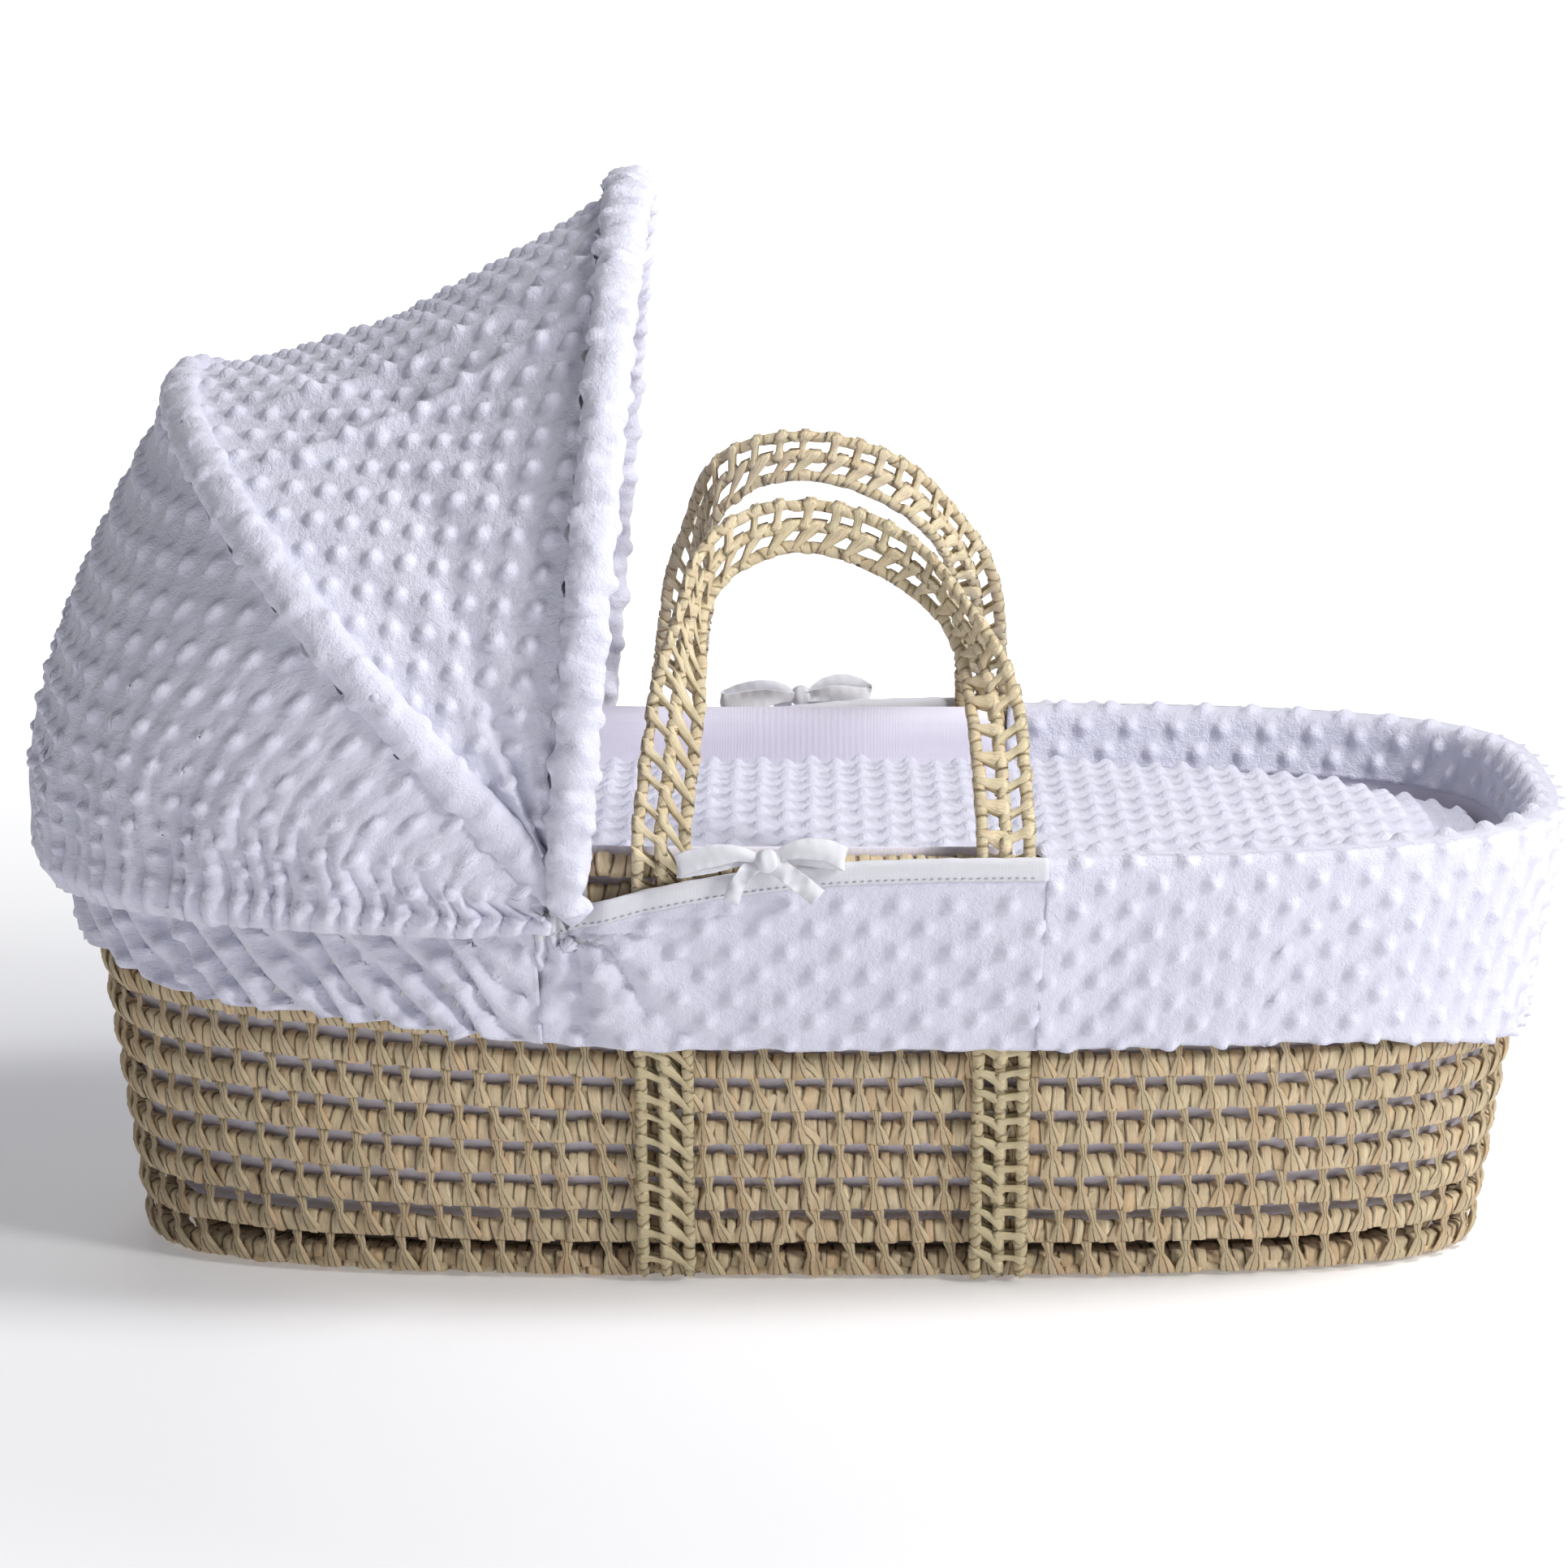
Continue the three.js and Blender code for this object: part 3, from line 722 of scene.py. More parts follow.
def lacingMesh(routes, side, seed, shape):
    # flat leaf rungs from one cord to the next
    s = lacingSections
    first, second = (cordTrack(where, side) for where, length in routes)
    length = routes[0][1]
    count = int(length / strapSet["lacingPitch"])
    chance = np.random.default_rng(seed)
    jitter = chance.uniform(-0.12, 0.12, count)
    wide = shape["width"] * chance.uniform(0.8, 1.2, count)
    steps = len(s["reach"]) - 1

    def place(u, v, copy):
        section = np.rint(v * steps).astype(int)
        reach = s["reach"][section]
        angle = u * fullTurn
        middle = lerp(0.014, 0.986, (copy + 0.5 + jitter[copy]) / count)
        drift = (reach - 0.5) * shape["slope"]
        along = (wide[copy] * shape["broad"][section] * np.cos(angle) + drift) / length
        share = np.clip(middle + along, 0.001, 0.999)
        firstAt, outward, _ = first(share)
        secondAt = second(share)[0]
        proud = s["proud"][section] + s["depth"][section] * np.sin(angle)
        at = lerp(firstAt, secondAt, reach[:, None]) + outward * proud[:, None]
        at[:, 2] = np.maximum(at[:, 2], strapSet["footClear"])
        return at, np.stack([copy + 0.5 + 0.28 * np.cos(angle) + seed * 40, v], axis=1)

    return gridMesh("lacing", place, (8, steps), count)[0]


def wholeLacing(routes, side, seed, shape):  # the same rungs on both faces of the strap
    return [lacingMesh(routes, facing, seed, lacingShapes[shape]) for facing in (side, -side)]


def strapNodes(sideName):
    nodes = [f"handle_cord_{sideName}_{cord}" for cord in ("inner", "middle", "outer")]
    nodes.append(f"handle_lacing_{sideName}")
    for end in ("head", "foot"):
        nodes += [f"leg_cord_{sideName}_{end}_{cord}" for cord in ("head", "middle", "foot")]
        nodes.append(f"leg_lacing_{sideName}_{end}")
    return nodes


def buildHandle(sideName, side, seed):
    s = strapSet
    routes = [cordRoute(side, across) for across in (-1, 0, 1)]
    meshes = []
    for index, (where, length) in enumerate(routes):
        wraps = int(length / s["wrapWidth"])
        half = (s["radius"], s["radius"])
        track = cordTrack(where, side)
        cord = wrappedCore("cord", track, wraps, half, seed + index, False, groove=0.07, slant=0.14, boxy=0.9)
        meshes.append(cord)
    meshes += wholeLacing(routes[:2], side, seed + 10, "leaf")
    meshes += wholeLacing(routes[1:], side, seed + 11, "rung")
    handle = addPiece(f"{sideName}_handle_strap", meshes, "palm_rope", nodes=strapNodes(sideName))
    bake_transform(handle)


buildHandle("near", -1, 300)
buildHandle("far", 1, 340)

# dimple fleece cloth

dotSet = {"pitch": 0.029, "rowPitch": 0.014, "radius": 0.0058, "height": 0.0043, "round": 1.1}
surfaceStep = 1e-3


def dotHeight(flat, turn=0.0):  # raised dots in a staggered lattice on the flat cloth
    s = dotSet
    angle = math.radians(turn)
    x = flat[:, 0] * math.cos(angle) - flat[:, 1] * math.sin(angle)
    y = flat[:, 0] * math.sin(angle) + flat[:, 1] * math.cos(angle)
    row = np.rint(y / s["rowPitch"])
    along = x - (row % 2) * s["pitch"] / 2
    along -= np.rint(along / s["pitch"]) * s["pitch"]
    away = np.hypot(along, y - row * s["rowPitch"]) / s["radius"]
    return s["height"] * np.clip(1 - away**2, 0, 1) ** s["round"]


def normalsOf(surface, u, v):
    step = surfaceStep
    along = surface(u + step, v) - surface(u - step, v)
    across = surface(u, v + step) - surface(u, v - step)
    return unit(np.cross(along, across))


def facingOut(surface, inside, u, v):  # the surface's normals, all turned away from a point inside
    normals = normalsOf(surface, u, v)
    return normals * np.sign(np.sum(normals * (surface(u, v) - np.array(inside))))


def clothMesh(name, surface, flatPlace, steps, inside, turn=0.0, dots=1.0, thickness=0.0022, backRows=16):
    # a fleece face steps[1] rows deep and a plainer back, joined into one closed cloth
    rows = steps[1] + backRows + 2

    def place(u, v, copy):
        index = np.rint(v * rows)
        back = (index > steps[1]) & (index < rows)
        down = np.where(back, (rows - 1 - index) / backRows, index / steps[1])
        down = np.where(index == rows, 0, down)
        flat = flatPlace(u, down)
        proudest = dots(u, down) if callable(dots) else dots
        proud = np.where(back, -thickness, proudest * dotHeight(flat, turn))
        return surface(u, down) + facingOut(surface, inside, u, down) * proud[:, None], flat

    mesh, faceRow = gridMesh(name, place, (steps[0], rows))
    mesh.polygons.foreach_set("material_index", (faceRow * rows > steps[1] + 0.6).astype(np.int32))
    return mesh


# hood: two bows, the cloth between them and the gathered back

hoodSet = {"pivotX": -0.131, "pivotZ": 0.237, "middle": (-0.215, 0.0, 0.290)}
rearBow = {"angle": 48.3, "reach": 0.331, "halfWidth": 0.228, "legHeight": 0.120, "eyeY": 0.2184}
frontBow = {"angle": 94.8, "reach": 0.355, "halfWidth": 0.232, "legHeight": 0.125, "eyeY": 0.2256}


def inBowPlane(angle, up, across):
    x = hoodSet["pivotX"] - up * np.cos(np.radians(angle))
    return points(x, across, hoodSet["pivotZ"] + up * np.sin(np.radians(angle)))


bowStretches = 3  # the near leg, the arch and the far leg


def bowRoute(bow, start):  # from the near leg, start above the pivot, over to the far leg
    def raw(q):
        q = np.asarray(q, float)
        leg = np.clip(np.minimum(q, bowStretches - q), None, 1)
        height = lerp(start, bow["legHeight"], leg)
        wide = lerp(bow["eyeY"], bow["halfWidth"], height / bow["legHeight"])
        turn = math.pi * (np.clip(q, 1, 2) - 1)
        over = (q > 1) & (q < 2)
        arch = bow["legHeight"] + (bow["reach"] - bow["legHeight"]) * np.sin(turn)
        onLeg = np.where(q < bowStretches / 2, -wide, wide)
        across = np.where(over, -bow["halfWidth"] * np.cos(turn), onLeg)
        return inBowPlane(bow["angle"], np.where(over, arch, height), across)

    where, length = evenly(raw, 0, bowStretches)
    step = 1e-3
    before = (raw(step) - raw(0)) / step
    after = (raw(bowStretches) - raw(bowStretches - step)) / step

    def route(share):  # carries straight on past both ends
        lead = np.minimum(share, 0)[..., None] * bowStretches
        trail = np.maximum(share - 1, 0)[..., None] * bowStretches
        return raw(where(np.clip(share, 0, 1))) + lead * before + trail * after

    return route, length


canopySet = {
    "start": 0.004, "sag": 0.018, "fold": 0.0055, "slack": 0.0022, "creaseHeight": 0.0060,
    "edgeLift": 0.0042, "steps": (470, 118), "grain": 17.0,
    "ridges": ((0.405, 0.0070), (0.350, 0.0065), (0.615, 0.0070)),
}


def canopySurface():
    s = canopySet
    rear, rearLength = bowRoute(rearBow, s["start"])
    front, frontLength = bowRoute(frontBow, s["start"])
    middle = np.array(hoodSet["middle"])

    def surface(u, v):  # u from side to side, v from the rear bow to the front bow
        straight = lerp(rear(u), front(u), v[:, None])
        fromSide = np.minimum(u, 1 - u)
        arc = np.sin(math.pi * np.clip(v, 0, 1))
        crown = np.sin(math.pi * np.clip(u, 0, 1))
        fan = np.sin(v * fullTurn * 3.2 + 2.0 * u + 0.7) + 0.5 * np.sin(v * fullTurn * 5.3 + 1.3)
        fan = fan * np.exp(-fromSide / 0.11) * smoothstep(fromSide, 0, 0.03)
        depth = s["sag"] * crown**0.8 * arc - s["fold"] * fan * arc**0.5
        depth = depth + s["slack"] * wander(v * 0.25 + u * 0.6, 0.085, 11) * arc**0.6 * crown
        crease = 0
        for number, (where, size) in enumerate(s["ridges"]):
            crease = crease + hill(u + 0.012 * np.sin(2.5 * v + number), where, size)
        lift = s["creaseHeight"] * crease * smoothstep(v, 0.02, 0.25)
        edges = hill(v, 0, 0.05) + hill(v, 1, 0.05)
        lift = lift + s["edgeLift"] * edges * smoothstep(fromSide, 0.01, 0.08)
        return straight + unit(middle - straight) * (depth - lift)[:, None]

    def flat(u, v):
        width = np.linalg.norm(front(u) - rear(u), axis=-1)
        return np.stack([u * (rearLength + frontLength) / 2, (v - 0.5) * width], axis=-1)

    return surface, flat


def pivotAngle(piece):  # each point's angle about the hood's pivot, in degrees up from the head end
    place = np.empty(len(piece.data.vertices) * 3)
    piece.data.vertices.foreach_get("co", place)
    x, _, z = place.reshape(-1, 3).T
    return np.degrees(np.arctan2(z - hoodSet["pivotZ"], hoodSet["pivotX"] - x))


def buildCanopy():
    s = canopySet
    surface, flat = canopySurface()
    mesh = clothMesh("canopy", surface, flat, s["steps"], hoodSet["middle"], s["grain"], backRows=26)
    canopy = addPiece("hood_front_panel", [mesh], "dimple_fleece", nodes=["hood_canopy"], capped=True)
    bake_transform(canopy)
    (pivotAngle(canopy) - rearBow["angle"]) / (frontBow["angle"] - rearBow["angle"])


casingSet = {
    "steps": (540, 22), "gather": 0.0115, "dotTurn": 8.0, "taper": 0.7, "taperReach": 0.03,
    "rear": {"radius": 0.0077, "ruffle": 0.08, "seed": 5, "start": -0.013, "flatten": 1.50, "dots": 0.60},
    "front": {"radius": 0.0096, "ruffle": 0.17, "seed": 6, "start": -0.006, "flatten": 1.25, "dots": 0.70},
}


def casingMesh(bow, casing):
    s = casingSet
    radius = casing["radius"]
    seed = casing["seed"]
    route, length = bowRoute(bow, casing["start"])
    inPlane = inBowPlane(bow["angle"], 1, 0) - inBowPlane(bow["angle"], 0, 0)
    sideways = unit(np.cross(inPlane, (0, 1, 0)))

    def surface(u, v):
        ahead = unit(route(u + 0.002) - route(u - 0.002))
        side = sideways * np.ones_like(ahead)
        lift = np.cross(side, ahead)
        angle = v * fullTurn
        travel = u * length
        pinch = np.abs(np.sin(math.pi * (travel + 0.002 * np.sin(angle + seed)) / s["gather"]))
        gathered = casing["ruffle"] * (0.55 + 1.1 * np.sin(math.pi * np.clip(u, 0, 1)) ** 6)
        loose = 0.5 * casing["ruffle"] * wander(travel + 0.004 * np.cos(angle), 0.031, seed)
        size = radius * (1 + gathered * (pinch**0.6 - 0.62) + loose)
        size = size * lerp(s["taper"], 1, smoothstep(np.minimum(u, 1 - u), 0, s["taperReach"]))
        across = side * (size * casing["flatten"] * np.cos(angle))[:, None]
        return route(u) + across + lift * (size * np.sin(angle))[:, None]

    def place(u, v, copy):
        flat = np.stack([u * length, v * fullTurn * radius], axis=-1)
        at = surface(u, v)
        normal = normalsOf(surface, u, v)
        outward = np.sign(np.sum(normal * (at - route(u)), axis=-1, keepdims=True))
        return at + normal * outward * (casing["dots"] * dotHeight(flat, s["dotTurn"]))[:, None], flat

    return gridMesh("casing", place, s["steps"])[0]


def buildCasings():
    rear = casingMesh(rearBow, casingSet["rear"])
    front = casingMesh(frontBow, casingSet["front"])
    addPiece("rear_bow_casing", [rear], "dimple_fleece", "rear_bow", ["rear_casing"], capped=True)
    addPiece("front_bow_ruffle", [front], "dimple_fleece", "front_bow", ["front_casing"], capped=True)


backSet = {
    "hemHalfLength": 0.424, "hemHalfWidth": 0.220, "seam": 0.141, "hemZ": 0.223, "hemLift": 0.005,
    "hemRise": 0.004, "hemFold": 0.0075, "start": 0.004, "steps": (620, 104), "bulge": 0.006,
    "gatherPitch": 0.0125, "gatherHeight": 0.0098, "looseFold": 0.0045, "hemRoll": 0.004,
    "edgeLift": 0.0010, "grain": 38.0,
}


def hemCurve(share):  # the elastic hem round the head end, from the near side to the far side
    s = backSet
    limit = endAngle(s["seam"], s["hemHalfLength"])
    theta = math.pi + lerp(limit, -limit, share)
    x = s["hemHalfLength"] * softPower(np.cos(theta))
    lift = s["hemLift"] * np.sin(math.pi * np.clip(share, 0, 1))
    rise = s["hemRise"] * smoothstep(x, -0.190, -s["seam"])
    return points(x, s["hemHalfWidth"] * softPower(np.sin(theta)), s["hemZ"] + lift + rise)


def backSurface():
    s = backSet
    rear, rearLength = bowRoute(rearBow, s["start"])
    hemAt, hemLength = evenly(hemCurve, 0, 1)

    def surface(u, v):  # u from side to side, v from the hem up to the rear bow
        inside = np.clip(u, 0, 1)
        hem = hemCurve(hemAt(inside)) + (u - inside)[:, None] * np.array([0, 0, 0.01])
        bow = rear(u)
        crown = hem * np.array([1.055, 1.05, 1.0])
        crown[:, 2] = lerp(hem[:, 2], bow[:, 2], 0.30)
        t = v[:, None]
        base = hem * (1 - t) ** 2 + crown * 2 * t * (1 - t) + bow * t**2
        base[:, 2] -= s["hemFold"] * np.exp(-v / 0.03)
        away = base - np.array(hoodSet["middle"])
        away[:, 2] *= 0.35
        travel = u * hemLength
        pleat = (travel + 0.006 * np.sin(9 * v)) / s["gatherPitch"]
        fold = np.abs(np.sin(math.pi * pleat + 0.8 * wander(travel, 0.05, 3)))
        out = s["gatherHeight"] * (fold**0.8 - 0.55) * np.exp(-v / 0.34) * smoothstep(v, -0.02, 0.05)
        out = out + s["looseFold"] * wander(travel + 0.02 * v, 0.062, 8) * hill(v, 0.32, 0.28)
        out = out + s["hemRoll"] * hill(v, 0.06, 0.06)
        out = out + s["bulge"] * np.sin(math.pi * np.clip(v, 0, 1)) * np.sin(math.pi * inside) ** 0.5
        out = out + s["edgeLift"] * hill(v, 1, 0.05) * smoothstep(np.minimum(u, 1 - u), 0.01, 0.08)
        return base + unit(away) * out[:, None]

    def flat(u, v):
        hem = hemCurve(hemAt(np.clip(u, 0, 1)))
        height = np.linalg.norm(rear(u) - hem, axis=-1) * 1.06
        return np.stack([u * (hemLength * 1.15 + rearLength) / 2, v * height], axis=-1)

    return surface, flat


def buildBack():
    s = backSet
    surface, flat = backSurface()

    def dots(u, v):
        return lerp(0.45, 1.0, smoothstep(v, 0.05, 0.38))

    mesh = clothMesh("back", surface, flat, s["steps"], hoodSet["middle"], s["grain"], dots, backRows=20)
    back = addPiece("hood_back_panel", [mesh], "dimple_fleece", nodes=["hood_back"], capped=True)
    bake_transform(back)
    smoothstep(pivotAngle(back), -4.0, rearBow["angle"] - 1)


buildCanopy()
buildCasings()
buildBack()

# skirts over the rim at the two ends

skirtSet = {
    "footSeam": 0.121, "headSeam": -0.148, "stand": 0.0068, "top": 0.2595, "drop": 0.115,
    "leafStand": -0.0128, "steps": (400, 68), "backRows": 22, "seamLift": 0.0068, "seamFade": 0.022,
    "foldPitch": 0.024, "foldSlant": 0.85, "slack": 0.0022, "least": 0.0035, "thickness": 0.0018,
}
skirts = {
    "foot": {"end": 1, "seam": skirtSet["footSeam"], "foldHeight": 0.0014, "seed": 21, "turn": 0.0},
    "head": {"end": -1, "seam": skirtSet["headSeam"], "foldHeight": 0.0120, "seed": 31, "turn": 9.0},
}
hemSet = {"height": 0.146, "footDip": 0.014, "hoodLift": 0.009, "headLift": 0.020}


def hemHeight(x):
    s = hemSet
    footDip = s["footDip"] * smoothstep(x, 0.240, basketShape["rimHalfLength"]) ** 2
    hoodLift = s["hoodLift"] * smoothstep(-x, 0.100, 0.300)
    headLift = s["headLift"] * smoothstep(-x, 0.300, 0.420) ** 2
    return s["height"] - footDip + hoodLift + headLift


def skirtSurface(skirt):
    s = skirtSet
    end = skirt["end"]
    seed = skirt["seed"]
    limit = endAngle(skirt["seam"], basketShape["rimHalfLength"])
    middleAngle = math.pi if end < 0 else 0.0

    def rimAngle(share):
        return middleAngle + lerp(-limit, limit, share)

    where, length = evenly(lambda share: onOutline(rimAngle(share), 0.25, s["stand"]), 0, 1)
    # the way of the cloth: up the outside, over the rim and down the inside
    profile = [
        (0.0, s["stand"] + 0.001), (0.45, s["stand"]), (0.84, s["stand"] + 0.0005),
        (0.965, s["stand"] - 0.001), (1.0, 0.001), (0.998, -0.0085), (0.965, s["leafStand"]),
        (0.86, s["leafStand"]), (0.70, s["leafStand"]),
    ]
    way, wayLength = smoothRoute([(rise * s["drop"], out, 0) for rise, out in profile])

    def surface(u, v):  # u along the rim, v along the way of the cloth
        inside = np.clip(u, 0, 1)
        theta = rimAngle(where(inside) + (u - inside))
        at = way(np.clip(v, 0, 1))
        rise = (at[:, 0] + np.minimum(v, 0) * wayLength) / s["drop"]
        out = at[:, 1]
        hem = hemHeight(onOutline(theta, 0.2, out)[:, 0]) + 0.0012 * wander(u * length, 0.05, seed + 3)
        z = lerp(hem, s["top"], rise)
        z = np.where((v > 0.6) & (out < 0), s["top"] - (1 - rise) * s["drop"], z)
        travel = (u - 0.5) * length
        fromSeam = length / 2 - np.abs(travel)
        slant = np.abs(travel) + s["foldSlant"] * (z - 0.15)
        fold = np.abs(np.sin(math.pi * slant / s["foldPitch"] + 0.9 * wander(travel, 0.07, seed)))
        slack = s["slack"] * wander(travel + 0.4 * np.sign(travel) * (z - 0.15), 0.11, seed + 1)
        amount = skirt["foldHeight"] * (fold**0.9 - 0.6) + slack
        amount = amount * smoothstep(fromSeam, 0, s["seamFade"]) * smoothstep(0.245 - z, 0.0, 0.03)
        lift = s["seamLift"] * lerp(0.55, 1.0, z / basketShape["rimHeight"]) * smoothstep(out, 0, 0.004)
        lift = lift * np.exp(-np.maximum(fromSeam, 0) / 0.03) * (end > 0)
        outside = np.maximum(out + amount + lift, s["least"])
        return onOutline(theta, z, np.where(out > 0, outside, out))

    def flat(u, v):
        return np.stack([(u - 0.5) * length, v * wayLength], axis=-1)

    return surface, flat, (length, wayLength)


def buildSkirt(endName, skirt):
    s = skirtSet
    name = f"{endName}_skirt"
    surface, flat, size = skirtSurface(skirt)
    turn = skirt["turn"]
    mesh = clothMesh(name, surface, flat, s["steps"], basketMiddle, turn, 1.0, s["thickness"], s["backRows"])
    piece = addPiece(name, [mesh], "dimple_fleece", "basket", [f"skirt_{endName}"], capped=True)


for endName, skirt in skirts.items():
    buildSkirt(endName, skirt)

# side panels with their bound top edge, stitches and ribbon bows

panelSet = {
    "head": skirtSet["headSeam"], "foot": skirtSet["footSeam"], "drop": 0.040, "topZ": 0.2585,
    "steps": (118, 50), "overlap": 0.0008, "folds": 0.0095, "foldReach": 0.095, "slack": 0.0013,
    "bound": (0.026, 0.0135), "dotMargin": (0.012, 0.019),
}
bindingSet = {"height": 0.0112, "steps": (120, 22), "puff": 0.0006, "thickness": 0.0007}
stitchSet = {"pitch": 0.0042, "size": 0.00042, "proud": 0.0024, "fromEdge": 0.0019}


def panelTop(x):
    s = panelSet
    return s["topZ"] - s["drop"] * np.clip((s["foot"] - x) / (s["foot"] - s["head"]), 0, 1.05) ** 3


def onPanel(side, x, z, out):
    stand = lerp(0.0055, lerp(0.010, 0.014, z / basketShape["rimHeight"]), smoothstep(x, -0.130, -0.108))
    return points(x, side * widthAt(x, z, stand + out), climb(x, z))


def panelFolds(x, z):  # folds that fan out from the hood's pivot, and none along the bound edge
    s = panelSet
    top = panelTop(x)
    z = lerp(z, top, smoothstep(z, top - s["bound"][0], top - s["bound"][1]))
    away = np.hypot(x - hoodSet["pivotX"], z - hoodSet["pivotZ"])
    angle = np.arctan2(hoodSet["pivotZ"] - z, x - hoodSet["pivotX"] + 0.01)
    fan = np.abs(np.sin(angle * 7.5 + 0.6 * np.sin(away * 60))) ** 0.9 - 0.55
    near = np.exp(-away / s["foldReach"]) * smoothstep(away, 0.0, 0.02)
    near = near * lerp(0.45, 1.35, smoothstep(angle, 0.35, 0.95))
    slack = s["slack"] * wander(x + 0.8 * z, 0.075, 52) * smoothstep(0.258 - z, 0, 0.05)
    return s["folds"] * fan * near + slack


def seamX(seam, z, stand):  # a skirt's seam leans with the wall
    return seam / basketShape["rimHalfLength"] * halfSizes(z, stand)[0]


def panelPlace(u, v):  # along and up the panel, between the two slanted seams
    s = panelSet
    x = lerp(s["head"], s["foot"], u)
    z = lerp(hemHeight(x) + 0.001 * wander(x, 0.04, 9), panelTop(x), v)
    head = seamX(s["head"], z, skirtSet["stand"]) - s["overlap"]
    foot = seamX(s["foot"], z, skirtSet["stand"] + skirtSet["seamLift"]) + s["overlap"]
    return lerp(head, foot, u), z


def panelSurface(side):
    s = panelSet

    def surface(u, v):
        x, z = panelPlace(u, v)
        return onPanel(side, x, z, panelFolds(x, z))

    def flat(u, v):
        x = lerp(s["head"], s["foot"], u)
        return np.stack([x, lerp(hemHeight(x), panelTop(x), v) * 1.02], axis=-1)

    return surface, flat


def bindingSurface(side):
    s = bindingSet
    # the tape's way: up the outside, over the edge and down the inside
    way, length = smoothRoute([
        (-s["height"], 0.0016, 0), (-0.006, 0.0017, 0), (0.0004, 0.0016, 0), (0.0022, -0.0006, 0),
        (0.0004, -0.0034, 0), (-0.006, -0.0036, 0), (-s["height"], -0.0036, 0),
    ])

    def surface(u, v):
        x = panelPlace(lerp(0.003, 0.997, u), np.ones_like(u))[0]
        inside = np.clip(v, 0, 1)
        at = way(inside)
        z = panelTop(x) + at[:, 0] + 0.0003 * wander(x, 0.02, 7)
        puff = s["puff"] * np.sin(math.pi * np.clip(v / 0.42, 0, 1))
        out = at[:, 1] + panelFolds(x, panelTop(x)) + puff + 0.002 * (v - inside)
        return onPanel(side, x, z, out)

    def flat(u, v):
        return np.stack([u * (panelSet["foot"] - panelSet["head"]), v * length], axis=-1)

    return surface, flat


def stitchRow(route, length):  # short stitches lying on a seam
    s = stitchSet
    count = int(length / s["pitch"])

    def place(u, v, copy):
        angle = v * fullTurn
        centre, side, lift = route((copy + 0.2 + 0.6 * u) / count)
        fat = s["size"] * np.sqrt(np.clip(1 - (2 * u - 1) ** 2, 0.02, 1))
        at = centre + side * (fat * np.cos(angle))[:, None] + lift * (fat * 1.3 * np.sin(angle))[:, None]
        return at, np.stack([u, v], axis=1) * 0.01

    return gridMesh("stitches", place, (4, 5), count)[0]


ribbonSet = {
    "halfWidth": 0.0062, "stand": 0.0185, "steps": (40, 16), "curl": 0.0012, "thickness": 0.0006,
    "ripple": 0.0005, "ripplePitch": 0.007, "knot": (0.0062, 0.0050, 0.0066), "knotSteps": (28, 16),
}
# each loop and tail: its width, how narrow its ends are, the way it lies, and its stops from the knot
# along the panel, out from it and up
ribbonParts = {
    "left": {"width": 1.0, "narrow": 0.5, "lay": (0, 0, 1), "stops": [
        (-0.003, 0, 0), (-0.016, 0.003, 0.004), (-0.034, 0.003, 0.002), (-0.047, 0.001, -0.003),
        (-0.043, -0.003, -0.004), (-0.020, -0.003, 0), (-0.002, -0.001, 0),
    ]},
    "right": {"width": 1.0, "narrow": 0.5, "lay": (0, 0, 1), "stops": [
        (0.003, 0, 0), (0.014, 0.003, 0.006), (0.030, 0.003, 0.006), (0.041, 0.001, 0.001),
        (0.036, -0.003, 0), (0.018, -0.003, 0.002), (0.002, -0.001, 0),
    ]},
    "rightTail": {"width": 0.85, "narrow": 1.0, "lay": (0.7, 0, 0.7), "stops": [
        (0.002, 0, 0), (0.010, 0.003, -0.006), (0.019, 0.002, -0.013), (0.027, 0.002, -0.020),
    ]},
    "leftTail": {"width": 0.7, "narrow": 1.0, "lay": (0.9, 0, 0.3), "stops": [
        (-0.002, 0, 0), (-0.010, 0.002, -0.005), (-0.016, 0.001, -0.014), (-0.019, 0.001, -0.023),
    ]},
}


def ribbonMesh(name, stops, part, seed):  # a flat tape along its stops
    s = ribbonSet
    halfWidth = s["halfWidth"] * part["width"]
    lay = np.array(part["lay"], float)
    route, length = smoothRoute(stops)

    def place(u, v, copy):
        angle = v * fullTurn
        ahead = unit(route(np.clip(u + 0.01, 0, 1)) - route(np.clip(u - 0.01, 0, 1)))
        across = unit(lay - ahead * (ahead @ lay)[:, None])
        face = np.cross(ahead, across)
        wide = halfWidth * lerp(part["narrow"], 1.0, smoothstep(np.minimum(u, 1 - u), 0, 0.3))
        curl = s["curl"] * np.cos(2 * angle) * np.sin(u * 9 + seed)
        ripple = s["ripple"] * np.sin(u * length / s["ripplePitch"] * fullTurn) * np.cos(angle)
        thick = s["thickness"] * np.sin(angle) + ripple
        at = route(u) + across * (wide * np.cos(angle))[:, None] + face * (thick + curl)[:, None]
        return at, np.stack([u * length, np.cos(angle) * halfWidth + 0.02], axis=1)

    return gridMesh(name, place, s["steps"])[0]


def knotOfRibbon(centre):
    s = ribbonSet

    def place(u, v, copy):
        angle = u * fullTurn
        pole = math.pi * (v - 0.5)
        wrinkled = np.cos(pole) * (1 + 0.10 * np.cos(angle * 5 + 3 * v + 2) * np.cos(pole))
        bump = points(wrinkled * np.cos(angle), wrinkled * np.sin(angle), np.sin(pole))
        return bump * np.array(s["knot"]) + np.array(centre), np.stack([u * 0.04, v * 0.02], axis=1)

    return gridMesh("knot", place, s["knotSteps"])[0]


